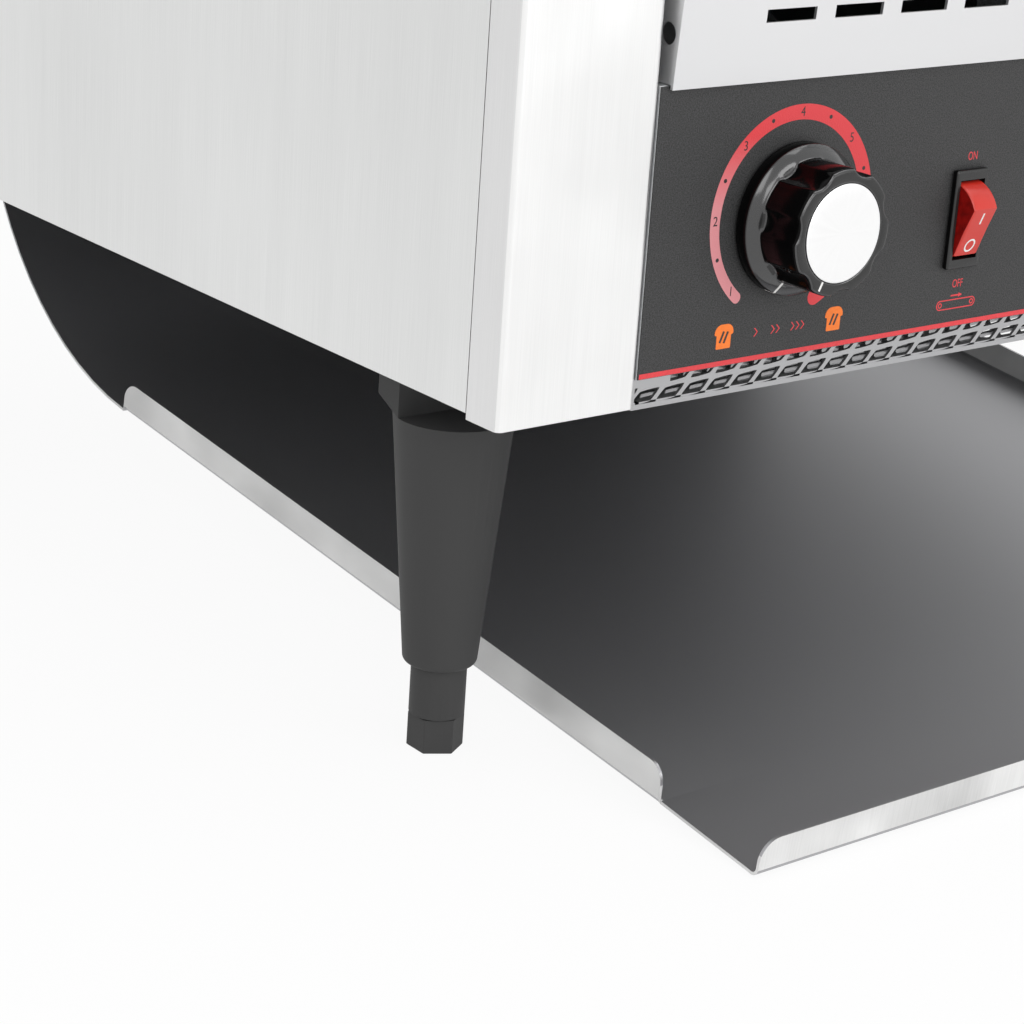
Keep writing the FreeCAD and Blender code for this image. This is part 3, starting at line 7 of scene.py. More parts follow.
import bmesh
import bpy
import numpy as np
from mathutils import Matrix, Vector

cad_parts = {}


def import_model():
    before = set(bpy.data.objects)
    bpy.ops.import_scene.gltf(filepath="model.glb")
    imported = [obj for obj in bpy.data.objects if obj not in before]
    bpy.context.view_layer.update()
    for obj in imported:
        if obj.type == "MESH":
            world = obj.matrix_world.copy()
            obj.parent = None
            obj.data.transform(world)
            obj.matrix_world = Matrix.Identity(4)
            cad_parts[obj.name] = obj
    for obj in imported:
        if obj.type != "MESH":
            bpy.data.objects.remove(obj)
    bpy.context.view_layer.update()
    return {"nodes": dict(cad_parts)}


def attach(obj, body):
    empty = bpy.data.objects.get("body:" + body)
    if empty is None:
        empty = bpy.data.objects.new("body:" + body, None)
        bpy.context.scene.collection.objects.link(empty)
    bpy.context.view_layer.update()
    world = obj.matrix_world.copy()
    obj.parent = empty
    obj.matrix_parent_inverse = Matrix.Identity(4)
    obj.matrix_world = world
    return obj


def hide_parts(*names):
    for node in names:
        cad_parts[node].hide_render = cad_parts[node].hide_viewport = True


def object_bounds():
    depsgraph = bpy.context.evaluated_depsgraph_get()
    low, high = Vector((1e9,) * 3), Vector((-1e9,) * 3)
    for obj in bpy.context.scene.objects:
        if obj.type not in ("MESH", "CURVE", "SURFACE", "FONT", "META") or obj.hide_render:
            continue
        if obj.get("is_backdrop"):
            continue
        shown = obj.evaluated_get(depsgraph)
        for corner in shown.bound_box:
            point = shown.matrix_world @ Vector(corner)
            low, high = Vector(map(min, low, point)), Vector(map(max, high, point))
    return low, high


# The look of a countertop conveyor toaster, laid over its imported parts.
# Sizes are in millimetres in the part's own frame and become metres in the meshes.

LOG = logging.getLogger("toaster")
MM = 0.001
Array = np.ndarray
Colour = tuple[float, float, float]
Values = dict[str | int, object]
WHITE = (1.0, 1.0, 1.0, 1.0)
COAT_ROUGHNESS = 0.08
LEAST_ROUGHNESS = 0.02
BUMP_HEIGHT = 0.0002
WELD = 2e-6
FLAT_ANGLE = 0.6
EDGE_ANGLE = 32.0
ARC_STEPS = 16


class Axis(Enum):
    """A direction that a turned piece stands along, with the two directions across it."""

    FRONT = ((1, 0, 0), (0, 0, 1), (0, -1, 0))
    BACK = ((1, 0, 0), (0, 0, 1), (0, 1, 0))
    RIGHT = ((0, 1, 0), (0, 0, 1), (1, 0, 0))
    LEFT = ((0, 1, 0), (0, 0, 1), (-1, 0, 0))

    def frame(self) -> Array:
        """Return the three directions as the rows of an array."""
        return np.array(self.value, float)


class Grain(Enum):
    """How the brushing of a sheet runs, as the noise scale along X, Y and Z."""

    UPRIGHT = (2600.0, 2600.0, 26.0)
    WIDTH = (24.0, 2600.0, 2600.0)
    DEPTH = (2300.0, 22.0, 60.0)
    CAST = (900.0, 900.0, 900.0)


@dataclass
class Shape:
    """Points in millimetres and faces, each array of faces having one corner count."""

    points: Array
    faces: list[Array]


def joined(shapes: Sequence[Shape]) -> Shape:
    """Join shapes into one: every face number grows by the points placed before it.

    Args:
        shapes: The shapes to join.

    Returns:
        One shape with all their points and faces.
    """
    starts = np.cumsum([0] + [len(s.points) for s in shapes])
    faces = [face + start for s, start in zip(shapes, starts) for face in s.faces]
    return Shape(np.concatenate([s.points for s in shapes]), faces)


def skin(grid: Array, around: bool = True, along: bool = False) -> Shape:
    """Join a grid of points to four-cornered faces.

    The point (i, j) is joined to (i + 1, j), (i + 1, j + 1) and (i, j + 1).

    Args:
        grid: Points as rows, columns and three coordinates.
        around: Whether the last column joins the first.
        along: Whether the last row joins the first.

    Returns:
        The open or closed skin.
    """
    rows, columns = grid.shape[:2]
    i = np.arange(rows if along else rows - 1)[:, None]
    j = np.arange(columns if around else columns - 1)[None, :]
    up, right = (i + 1) % rows, (j + 1) % columns
    quads = np.stack([i * columns + j, up * columns + j, up * columns + right, i * columns + right], -1)
    return Shape(grid.reshape(-1, 3), [quads.reshape(-1, 4)])


def loft(rings: Array) -> Shape:
    """Join closed rings one to the next, and close the first and the last by a flat face.

    Args:
        rings: Points as rings, points of a ring and three coordinates.

    Returns:
        The closed solid's surface.
    """
    shape = skin(rings)
    count = rings.shape[1]
    last = (rings.shape[0] - 1) * count + np.arange(count)
    shape.faces += [np.arange(count)[::-1][None], last[None]]
    return shape


def turned(profile: Sequence[tuple[float, float]], centre: Sequence[float], axis: Axis,
           sides: int = 64) -> Shape:
    """Turn a profile round an axis: centre + height * axis + radius * (cos a * u + sin a * v).

    Args:
        profile: Pairs of radius and height.
        centre: The axis's foot.
        axis: Where the axis points.
        sides: How many points make a ring.

    Returns:
        The turned surface, closed at both ends.
    """
    radius, height = np.array(profile, float).T
    angle = np.linspace(0, 2 * math.pi, sides, endpoint=False)
    u, v, w = axis.frame()
    across = np.cos(angle)[:, None] * u + np.sin(angle)[:, None] * v
    rings = np.array(centre) + height[:, None, None] * w + radius[:, None, None] * across
    return loft(rings)


def tube(path: Array, radius: float, side: Sequence[float], sides: int = 8) -> Shape:
    """Carry a circle along a path: n = tangent x side, b = tangent x n, point + r (cos a n + sin a b).

    Args:
        path: The points that the middle follows.
        radius: The circle's radius.
        side: A direction that is never along the path.
        sides: How many points make the circle.

    Returns:
        The closed tube.
    """
    ahead = np.gradient(path, axis=0)
    ahead /= np.linalg.norm(ahead, axis=1)[:, None]
    first = np.cross(ahead, np.array(side, float))
    first /= np.linalg.norm(first, axis=1)[:, None]
    second = np.cross(ahead, first)
    angle = np.linspace(0, 2 * math.pi, sides, endpoint=False)
    ring = np.cos(angle)[:, None] * first[:, None] + np.sin(angle)[:, None] * second[:, None]
    return loft(path[:, None] + radius * ring)


def rounded(points: Sequence[Sequence[float]], radii: Sequence[float], steps: int = 8) -> tuple[Array, Array]:
    """Round the corners of a flat line, with the left normal at every point.

    A corner's arc starts and ends r * tan(turn / 2) away from it and its normals turn evenly.

    Args:
        points: The corners of an open line.
        radii: The radius at each corner; the first and last are not used.
        steps: How many parts each arc has.

    Returns:
        The line's points and its left normals.
    """
    corners = np.array(points, float)
    ways = np.diff(corners, axis=0)
    lengths = np.linalg.norm(ways, axis=1)
    angles = np.unwrap(np.arctan2(ways[:, 1], ways[:, 0]))
    ways /= lengths[:, None]
    line, normals = [corners[0]], [(-math.sin(angles[0]), math.cos(angles[0]))]
    for i in range(1, len(corners) - 1):
        turn = angles[i] - angles[i - 1]
        cut = radii[i] * abs(math.tan(turn / 2))
        start = corners[i] - ways[i - 1] * cut
        side = math.copysign(1.0, turn)
        left = np.array((-ways[i - 1][1], ways[i - 1][0]))
        middle = start + left * side * radii[i]
        a = angles[i - 1] + turn * np.linspace(0, 1, steps + 1)
        out = np.stack([-np.sin(a), np.cos(a)], -1)
        line.extend(middle - side * radii[i] * out)
        normals.extend(out)
    line.append(corners[-1])
    normals.append((-math.sin(angles[-1]), math.cos(angles[-1])))
    return np.array(line), np.array(normals)


def plate(outline: Array, centre: Sequence[float], front: float, back: float) -> Shape:
    """Draw a flat outline in X and Z out between two depths.

    Args:
        outline: Flat points, going once round.
        centre: The outline's place in X and Z.
        front: The near depth.
        back: The far depth.

    Returns:
        The closed plate.
    """
    x, z = outline[:, 0] + centre[0], outline[:, 1] + centre[1]
    rings = [np.stack([x, np.full(len(x), y), z], -1) for y in (front, back)]
    return loft(np.array(rings))


def placed(name: str, data: bpy.types.ID) -> bpy.types.Object:
    """Return a new object that carries the data, linked into the scene."""
    made = bpy.data.objects.new(name, data)
    bpy.context.scene.collection.objects.link(made)
    return made


def facing(axes: Sequence[Sequence[float]], place: Sequence[float]) -> Matrix:
    """Return the matrix of an object at a place, with its X, Y and Z along the three axes."""
    rows = np.eye(4)
    rows[:3] = np.stack([*axes, place], 1)
    return Matrix(rows.tolist())


def fill(tree: bpy.types.NodeTree, target: bpy.types.Node, values: Values) -> None:
    """Set a node's inputs: a socket is linked to its input, anything else becomes the input's value.

    Args:
        tree: The node tree.
        target: The node.
        values: Sockets or values, by the input's name or number.
    """
    for key, value in values.items():
        if isinstance(value, bpy.types.NodeSocket):
            tree.links.new(value, target.inputs[key])
        else:
            target.inputs[key].default_value = value


def node(tree: bpy.types.NodeTree, kind: str, values: Values | None = None,
         **settings: object) -> bpy.types.Node:
    """Add a shader node.

    Args:
        tree: The node tree.
        kind: The node's type without its leading words.
        values: Sockets or values for its inputs.
        **settings: The node's own settings, made before its inputs are set.

    Returns:
        The node.
    """
    made = tree.nodes.new("ShaderNode" + kind)
    for key, value in settings.items():
        setattr(made, key, value)
    fill(tree, made, values or {})
    return made


def blend(tree: bpy.types.NodeTree, level: bpy.types.NodeSocket, low: Sequence[float],
          high: Sequence[float]) -> bpy.types.NodeSocket:
    """Return the colour that runs from low to high while the level runs from zero to one."""
    mix = node(tree, "Mix", {"Factor": level}, data_type="RGBA")
    for socket, colour in zip([s for s in mix.inputs if s.type == "RGBA"], (low, high)):
        socket.default_value = (*colour, 1.0)
    return next(s for s in mix.outputs if s.type == "RGBA")


def begun(name: str, colour: Colour) -> tuple[bpy.types.Material, bpy.types.NodeTree, bpy.types.Node]:
    """Return a fresh material, its node tree and its Principled shader."""
    made = bpy.data.materials.new(name)
    made.use_nodes = True
    made.diffuse_color = (*colour, 1.0)
    return made, made.node_tree, made.node_tree.nodes["Principled BSDF"]


class Effects:
    """Shader groups that several finishes use, each built once."""

    made: dict[str, bpy.types.NodeTree] = {}

    @classmethod
    def _begin(cls, name: str, inputs: dict[str, str], outputs: Sequence[str]) -> bpy.types.NodeTree:
        """Make a group with its sockets.

        Args:
            name: The group's name.
            inputs: Socket kinds by socket name.
            outputs: Names of the float outputs.

        Returns:
            The new group.
        """
        tree = bpy.data.node_groups.new(name, "ShaderNodeTree")
        for label, kind in inputs.items():
            tree.interface.new_socket(label, in_out="INPUT", socket_type=kind)
        for label in outputs:
            tree.interface.new_socket(label, in_out="OUTPUT", socket_type="NodeSocketFloat")
        tree.nodes.new("NodeGroupInput")
        tree.nodes.new("NodeGroupOutput")
        cls.made[name] = tree
        return tree

    @staticmethod
    def _noise(tree: bpy.types.NodeTree, label: str, low: float, high: float, values: Values) -> None:
        """Lead a noise, stretched so that low becomes zero and high one, to the output of that name."""
        noise = node(tree, "TexNoise", values)
        spread = node(tree, "MapRange", {"Value": noise.outputs[0], "From Min": low, "From Max": high})
        fill(tree, tree.nodes["Group Output"], {label: spread.outputs["Result"]})

    @classmethod
    def brushing(cls) -> bpy.types.NodeTree:
        """Return the group of drawn-out scratches: fine streaks, and wide soft bands of the same run."""
        if "brushing" in cls.made:
            return cls.made["brushing"]
        tree = cls._begin("brushing", {"Place": "NodeSocketVector", "Stretch": "NodeSocketVector"},
                          ("Streak", "Band"))
        near = tree.nodes["Group Input"].outputs
        scaled = node(tree, "VectorMath", {0: near["Place"], 1: near["Stretch"]}, operation="MULTIPLY")
        for label, scale, low, high in (("Streak", 1.0, 0.28, 0.72), ("Band", 0.035, 0.33, 0.67)):
            cls._noise(tree, label, low, high, {"Vector": scaled.outputs[0], "Scale": scale, "Detail": 3.0,
                                                "Roughness": 0.62})
        return tree

    @classmethod
    def mottle(cls) -> bpy.types.NodeTree:
        """Return the group of soft clouds and fine specks, both from noise in the piece's own place."""
        if "mottle" in cls.made:
            return cls.made["mottle"]
        tree = cls._begin("mottle", {"Place": "NodeSocketVector", "Cloud Scale": "NodeSocketFloat",
                                     "Speck Scale": "NodeSocketFloat"}, ("Cloud", "Speck"))
        near = tree.nodes["Group Input"].outputs
        for label, low, high in (("Cloud", 0.3, 0.7), ("Speck", 0.35, 0.65)):
            cls._noise(tree, label, low, high, {"Vector": near["Place"], "Scale": near[label + " Scale"],
                                                "Detail": 2.0})
        return tree

    @classmethod
    def spun(cls) -> bpy.types.NodeTree:
        """Return the group of a spun surface: noise over the angle makes fans of painted sheen, over the
        radius a lathe's rings.
        """
        if "spun" in cls.made:
            return cls.made["spun"]
        tree = cls._begin("spun", {"Place": "NodeSocketVector"}, ("PaintedSheen", "Ring"))
        place = tree.nodes["Group Input"].outputs["Place"]
        parts = node(tree, "SeparateXYZ", {0: place}).outputs
        angle = node(tree, "Math", {0: parts["Z"], 1: parts["X"]}, operation="ARCTAN2")
        reach = node(tree, "VectorMath", {0: place}, operation="LENGTH")
        for label, source, scale in (("PaintedSheen", angle.outputs[0], 5.0),
                                     ("Ring", reach.outputs["Value"], 3200.0)):
            noise = node(tree, "TexNoise", {"W": source, "Scale": scale, "Detail": 3.0},
                         noise_dimensions="1D")
            fill(tree, tree.nodes["Group Output"], {label: noise.outputs[0]})
        return tree


@dataclass(frozen=True)
class Finish:
    """A surface finish: a colour broken by brushing, clouds and specks, and a fine relief."""

    name: str
    colour: Colour
    metallic: float = 0.0
    roughness: float = 0.4
    spread: float = 0.06
    grain: Grain = Grain.CAST
    streak: float = 0.0
    band: float = 0.0
    cloud: float = 0.03
    speck: float = 0.0
    cloud_scale: float = 25.0
    speck_scale: float = 1500.0
    relief: float = 0.05
    coat: float = 0.0
    clear: float = 0.0
    glow: float = 0.0
    shine: float = 0.5

    def material(self) -> bpy.types.Material:
        """Return the material of the finish's name, built here if there is none yet.

        A finish that has a slot's name therefore shows that plain one, and its own values are not
        used.
        """
        known = bpy.data.materials.get(self.name)
        if known:
            return known
        made, tree, shader = begun(self.name, self.colour)
        place = node(tree, "TexCoord").outputs["Object"]
        mottle = node(tree, "Group", {"Place": place, "Cloud Scale": self.cloud_scale,
                                      "Speck Scale": self.speck_scale}, node_tree=Effects.mottle()).outputs
        height = mottle["Speck"]
        marks = [(mottle["Cloud"], self.cloud), (height, self.speck)]
        if self.streak:
            brushing = node(tree, "Group", {"Place": place, "Stretch": self.grain.value},
                            node_tree=Effects.brushing()).outputs
            height = brushing["Streak"]
            marks += [(height, self.streak), (brushing["Band"], self.band)]
        rough = node(tree, "MapRange", {"Value": mottle["Cloud"],
                                        "To Min": max(LEAST_ROUGHNESS, self.roughness - self.spread),
                                        "To Max": self.roughness + self.spread})
        bump = node(tree, "Bump", {"Height": height, "Strength": self.relief, "Distance": BUMP_HEIGHT})
        fill(tree, shader, {"Base Color": self._tone(tree, marks), "Roughness": rough.outputs["Result"],
                            "Normal": bump.outputs["Normal"], "Metallic": self.metallic,
                            "Specular IOR Level": self.shine, "Coat Weight": self.coat,
                            "Coat Roughness": COAT_ROUGHNESS, "Transmission Weight": self.clear})
        if self.glow:
            fill(tree, shader, {"Emission Color": (*self.colour, 1.0), "Emission Strength": self.glow})
        return made

    def _tone(self, tree: bpy.types.NodeTree,
              marks: Sequence[tuple[bpy.types.NodeSocket, float]]) -> bpy.types.NodeSocket:
        """Mix the colour towards a darker and a lighter one by each mark in turn.

        Args:
            tree: The material's node tree.
            marks: Mask outputs, each with how far it moves the colour.

        Returns:
            The socket that carries the final colour.
        """
        total = sum(amount for _, amount in marks)
        dark = [max(0.0, c * (1 - total)) for c in self.colour]
        light = [min(1.0, c * (1 + total)) for c in self.colour]
        level = 0.0
        for socket, amount in marks:
            if amount:
                part = node(tree, "Math", {0: socket, 1: amount / total, 2: level}, operation="MULTIPLY_ADD")
                level = part.outputs[0]
        return blend(tree, level, dark, light)


@dataclass(frozen=True)
class SpunFinish:
    """Spun aluminium, bright, with a faint painted sheen in fans from its middle."""

    name: str
    colour: Colour
    centre: tuple[float, float, float]
    roughness: float = 0.3
    spread: float = 0.04

    def material(self) -> bpy.types.Material:
        """Return a new material, built at each call."""
        made, tree, shader = begun(self.name, self.colour)
        mapping = node(tree, "Mapping", {"Vector": node(tree, "TexCoord").outputs["Object"],
                                         "Location": [-c * MM for c in self.centre]})
        spun = node(tree, "Group", {"Place": mapping.outputs[0]}, node_tree=Effects.spun()).outputs
        # The colour runs darker and lighter in fans round the middle: painted sheen.
        dark, light = [c * 0.965 for c in self.colour], [min(1.0, c * 1.02) for c in self.colour]
        painted_sheen = blend(tree, spun["PaintedSheen"], dark, light)
        rough = node(tree, "MapRange", {"Value": spun["Ring"], "To Min": self.roughness - self.spread,
                                        "To Max": self.roughness + self.spread})
        bump = node(tree, "Bump", {"Height": spun["Ring"], "Strength": 0.02, "Distance": BUMP_HEIGHT / 2})
        fill(tree, shader, {"Base Color": painted_sheen, "Roughness": rough.outputs["Result"],
                            "Normal": bump.outputs["Normal"], "Metallic": 1.0})
        return made


SIDE_STEEL = Finish("side_steel", (0.76, 0.765, 0.76), 1.0, 0.34, 0.05, Grain.UPRIGHT, 0.035, 0.012, 0.05,
                    cloud_scale=6.0, relief=0.06)
COLUMN_STEEL = Finish("column_steel", (0.91, 0.91, 0.905), 1.0, 0.36, 0.05, Grain.UPRIGHT, 0.03, 0.015, 0.015,
                      relief=0.06)
# A darker copy of the column steel for the column's side faces: painted shade on the same folded sheet.
COLUMN_SIDE_PAINTED_SHADE_STEEL = Finish("column_side_painted_shade_steel", (0.75, 0.75, 0.75), 1.0, 0.36, 0.05, Grain.UPRIGHT, 0.03,
                           0.015, 0.04, cloud_scale=8.0, relief=0.06)
COVER_STEEL = Finish("cover_steel", (0.985, 0.985, 0.98), 1.0, 0.36, 0.05, Grain.WIDTH, 0.03, 0.02, 0.015,
                     relief=0.06)
REAR_STEEL = Finish("rear_steel", (0.66, 0.665, 0.66), 1.0, 0.36, 0.05, Grain.WIDTH, 0.05, 0.04, 0.02,
                    relief=0.08)
TRAY_STEEL = Finish("tray_steel", (0.82, 0.825, 0.82), 1.0, 0.19, 0.05, Grain.DEPTH, 0.17, 0.06, 0.05,
                    cloud_scale=9.0, relief=0.16)
# A less metallic, greyer copy of the tray steel for the flanges' outer faces and the lip's front, so that the
# lamps light them brighter: painted light. It is also more mottled.
FLANGE_PAINTED_LIGHT_STEEL = Finish("flange_painted_light_steel", (0.68, 0.68, 0.675), 0.25, 0.34, 0.06, Grain.DEPTH, 0.05, 0.03, 0.16,
                      cloud_scale=26.0, relief=0.08)
GUARD_STEEL = Finish("guard_steel", (0.30, 0.30, 0.298), 1.0, 0.38, 0.08, cloud=0.12, speck=0.12, relief=0.12)
FRAME_STEEL = Finish("frame_steel", (0.50, 0.505, 0.50), 1.0, 0.42, 0.06, Grain.WIDTH, 0.05, 0.04, 0.05,
                     relief=0.08)
BOLT_STEEL = Finish("bolt_steel", (0.62, 0.62, 0.61), 1.0, 0.32, 0.08, cloud=0.06, speck=0.05)
WIRE_STEEL = Finish("wire_steel", (0.58, 0.58, 0.575), 1.0, 0.30, 0.06, cloud=0.05, speck=0.06)
SHAFT_STEEL = Finish("shaft_steel", (0.60, 0.60, 0.60), 1.0, 0.22, 0.05, Grain.WIDTH, 0.04, 0.02, 0.03)
ROLLER_STEEL = Finish("roller_steel", (0.40, 0.40, 0.395), 1.0, 0.40, 0.08, cloud=0.12, speck=0.08)
PULLEY_METAL = Finish("pulley_metal", (0.66, 0.66, 0.665), 1.0, 0.30, 0.06, cloud=0.05, speck=0.05)
REFLECTOR_METAL = Finish("reflector_metal", (0.82, 0.82, 0.83), 1.0, 0.18, 0.06, Grain.WIDTH, 0.04, 0.03,
                         0.04)
BUSH_BRONZE = Finish("bush_bronze", (0.55, 0.36, 0.14), 1.0, 0.38, 0.06, cloud=0.08, speck=0.12)
GEAR_CAST = Finish("gear_cast", (0.55, 0.55, 0.56), 1.0, 0.50, 0.06, cloud=0.06, speck=0.14, relief=0.25)
CONTROL_ZINC = Finish("control_zinc", (0.50, 0.50, 0.49), 1.0, 0.38, 0.06, cloud=0.08, speck=0.06)
FILM_BLACK = Finish("film_black", (0.034, 0.034, 0.0345), 0.0, 0.52, 0.05, cloud=0.06, speck=0.55,
                    speck_scale=2400.0, relief=0.35, shine=0.4)
PRINT_RED = Finish("print_red", (0.72, 0.045, 0.055), 0.0, 0.5, 0.05, cloud=0.03, speck=0.05)
PRINT_ORANGE = Finish("print_orange", (0.95, 0.205, 0.018), 0.0, 0.5, 0.05, cloud=0.03, speck=0.04)
PRINT_DARK = Finish("print_dark", (0.022, 0.020, 0.020), 0.0, 0.5, 0.05, cloud=0.03, speck=0.05)
PRINT_WHITE = Finish("print_white", (0.85, 0.84, 0.82), 0.0, 0.5, 0.05, cloud=0.02, speck=0.02)
KNOB_BLACK = Finish("knob_black", (0.020, 0.020, 0.021), 0.0, 0.20, 0.04, cloud=0.10, relief=0.02, coat=0.3)
KNOB_BEVEL_BLACK = Finish("knob_bevel_black", (0.014, 0.014, 0.015), 0.0, 0.16, 0.04, cloud=0.10, relief=0.02,
                          coat=0.6, shine=0.7)
# A near-black, low-shine copy of the knob plastic for the grip's side faces: painted shade.
KNOB_SIDE_PAINTED_SHADE = Finish("knob_side_painted_shade", (0.0015, 0.0015, 0.0016), 0.0, 0.14, 0.04, cloud=0.20,
                         relief=0.02, shine=0.08)
BEZEL_BLACK = Finish("bezel_black", (0.045, 0.045, 0.046), 0.0, 0.42, 0.05, cloud=0.08, speck=0.12,
                     relief=0.08)
# A near-black copy of the bezel plastic for the bezel's side faces: painted shade.
BEZEL_SIDE_PAINTED_SHADE = Finish("bezel_side_painted_shade", (0.003, 0.003, 0.003), 0.0, 0.30, 0.05, cloud=0.20, relief=0.04,
                          shine=0.12)
LEG_BLACK = Finish("leg_black", (0.004, 0.004, 0.0045), 0.0, 0.34, 0.05, cloud=0.14, speck=0.20, relief=0.06,
                   coat=0.0, shine=0.0)
# The rocker red carries a faint painted glow.
ROCKER_RED = Finish("rocker_red", (0.38, 0.005, 0.004), 0.0, 0.30, 0.03, cloud=0.14, cloud_scale=260.0,
                    relief=0.02, coat=0.0, glow=0.08, shine=0.12)
# A darker copy of the rocker red for its side faces: painted shade, with a faint painted glow as well.
ROCKER_SIDE_PAINTED_SHADE_AND_GLOW = Finish("rocker_side_painted_shade_and_glow", (0.22, 0.004, 0.003), 0.0, 0.20, 0.04, cloud=0.35,
                         cloud_scale=420.0, relief=0.02, shine=0.2, glow=0.10)
MOTOR_BLACK = Finish("motor_black", (0.055, 0.057, 0.062), 0.3, 0.42, 0.06, cloud=0.10, speck=0.10)
BELT_RUBBER = Finish("belt_rubber", (0.022, 0.022, 0.022), 0.0, 0.62, 0.05, Grain.WIDTH, 0.10, 0.05, 0.10)
QUARTZ = Finish("quartz", (0.93, 0.95, 0.95), 0.0, 0.10, 0.04, cloud=0.04, relief=0.02, clear=0.85)
COIL_WIRE = Finish("coil_wire", (0.30, 0.24, 0.20), 1.0, 0.48, 0.06, cloud=0.10, speck=0.12)
CERAMIC = Finish("ceramic", (0.76, 0.73, 0.66), 0.0, 0.55, 0.06, cloud=0.05, speck=0.06, relief=0.10)
BOARD_GREEN = Finish("board_green", (0.030, 0.20, 0.075), 0.0, 0.38, 0.08, cloud=0.12, speck=0.12)
TERMINAL_WHITE = Finish("terminal_white", (0.74, 0.73, 0.68), 0.0, 0.45, 0.05, cloud=0.04, speck=0.03)
LOOM_BLACK = Finish("loom_black", (0.032, 0.032, 0.032), 0.0, 0.62, 0.06, cloud=0.10, speck=0.35,
                    speck_scale=900.0, relief=0.5)
GLAND_BLACK = Finish("gland_black", (0.030, 0.030, 0.033), 0.0, 0.45, 0.05, cloud=0.08, speck=0.08)


@dataclass
class Dresser:
    """Puts finished shapes into the scene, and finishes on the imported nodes."""

    nodes: dict[str, bpy.types.Object]

    def piece(self, name: str, shape: Shape, body: str, finish: Finish | SpunFinish, slot: str,
              stands_for: Sequence[str] = (), sharp: float = 35.0) -> bpy.types.Object:
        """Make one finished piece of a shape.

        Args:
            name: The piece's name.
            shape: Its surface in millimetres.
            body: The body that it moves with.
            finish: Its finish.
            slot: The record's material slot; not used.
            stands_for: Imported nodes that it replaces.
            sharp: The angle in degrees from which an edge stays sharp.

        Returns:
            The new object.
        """
        mesh = bpy.data.meshes.new(name)
        mesh.vertices.add(len(shape.points))
        mesh.vertices.foreach_set("co", (shape.points * MM).astype(np.float32).ravel())
        corners = np.concatenate([f.ravel() for f in shape.faces])
        totals = np.concatenate([np.full(len(f), f.shape[1]) for f in shape.faces])
        mesh.loops.add(len(corners))
        mesh.loops.foreach_set("vertex_index", corners.astype(np.int32))
        mesh.polygons.add(len(totals))
        mesh.polygons.foreach_set("loop_start", (np.cumsum(totals) - totals).astype(np.int32))
        mesh.update(calc_edges=True)
        return self._finished(name, mesh, body, finish, stands_for, sharp, 1e-7)

    def _finished(self, name: str, mesh: bpy.types.Mesh, body: str, finish: Finish | SpunFinish,
                  stands_for: Sequence[str], sharp: float, merge: float) -> bpy.types.Object:
        """Merge doubles, turn the faces outwards, shade, and set the piece on its body.

        Args:
            name: The piece's name.
            mesh: Its mesh.
            body: The body that it moves with.
            finish: Its finish.
            stands_for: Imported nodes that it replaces.
            sharp: The angle in degrees from which an edge stays sharp.
            merge: The distance in metres under which points become one.

        Returns:
            The new object.
        """
        work = bmesh.new()
        work.from_mesh(mesh)
        bmesh.ops.remove_doubles(work, verts=work.verts, dist=merge)
        bmesh.ops.recalc_face_normals(work, faces=work.faces)
        work.to_mesh(mesh)
        work.free()
        mesh.polygons.foreach_set("use_smooth", np.ones(len(mesh.polygons), bool))
        mesh.set_sharp_from_angle(angle=math.radians(sharp))
        made = placed(name, mesh)
        mesh.materials.append(finish.material())
        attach(made, body)
        if stands_for:
            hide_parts(*stands_for)
        return made

    def softened(self, node: str, name: str, body: str, finish: Finish, slot: str, width: float = 0.3,
                 segments: int = 2, round_edges: float = 0.0, round_x: float = 0.0) -> bpy.types.Object:
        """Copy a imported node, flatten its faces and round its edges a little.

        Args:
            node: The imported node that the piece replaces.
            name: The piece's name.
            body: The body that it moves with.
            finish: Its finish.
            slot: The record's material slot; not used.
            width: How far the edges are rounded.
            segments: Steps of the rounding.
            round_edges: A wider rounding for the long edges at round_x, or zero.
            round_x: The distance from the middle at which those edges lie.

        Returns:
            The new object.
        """
        mesh = self.nodes[node].data.copy()
        mesh.materials.clear()
        work = bmesh.new()
        work.from_mesh(mesh)
        bmesh.ops.remove_doubles(work, verts=work.verts, dist=WELD)
        bmesh.ops.dissolve_limit(work, angle_limit=math.radians(FLAT_ANGLE), verts=work.verts,
                                 edges=work.edges)
        if round_edges:
            chosen = [e for e in work.edges
                      if all(abs(abs(v.co.x) - round_x * MM) < 2e-5 for v in e.verts)
                      and e.calc_length() > 0.04
                      and min(v.co.y for v in e.verts) < -0.184]
            bmesh.ops.bevel(work, geom=chosen, offset=round_edges * MM, segments=4, affect="EDGES",
                            profile=0.5, clamp_overlap=True)
        work.to_mesh(mesh)
        work.free()
        made = self._finished(name, mesh, body, finish, (node,), EDGE_ANGLE, WELD)
        bevel = made.modifiers.new("soft edges", "BEVEL")
        bevel.width = width * MM
        bevel.segments = segments
        bevel.limit_method = "ANGLE"
        bevel.angle_limit = math.radians(EDGE_ANGLE)
        bevel.harden_normals = True
        return made

    def recoated(self, made: bpy.types.Object, finish: Finish, low: Sequence[float],
                 high: Sequence[float]) -> None:
        """Give another finish to the faces whose normal lies between two corners in X, Y and Z.

        Args:
            made: The piece.
            finish: The finish for those faces.
            low: The least value of each part of the normal.
            high: The greatest value of each part of the normal.
        """
        mesh = made.data
        count = len(mesh.polygons)
        ways = np.zeros(count * 3, np.float32)
        mesh.polygons.foreach_get("normal", ways)
        ways = ways.reshape(-1, 3)
        chosen = ((ways >= np.array(low)) & (ways <= np.array(high))).all(1)
        number = np.zeros(count, np.int32)
        mesh.polygons.foreach_get("material_index", number)
        number[chosen] = len(mesh.materials)
        mesh.materials.append(finish.material())
        mesh.polygons.foreach_set("material_index", number)

    def dress(self, node: str, finish: Finish) -> None:
        """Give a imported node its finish.

        Args:
            node: The node's name.
            finish: The finish.
        """
        mesh = self.nodes[node].data
        mesh.materials.clear()
        mesh.materials.append(finish.material())


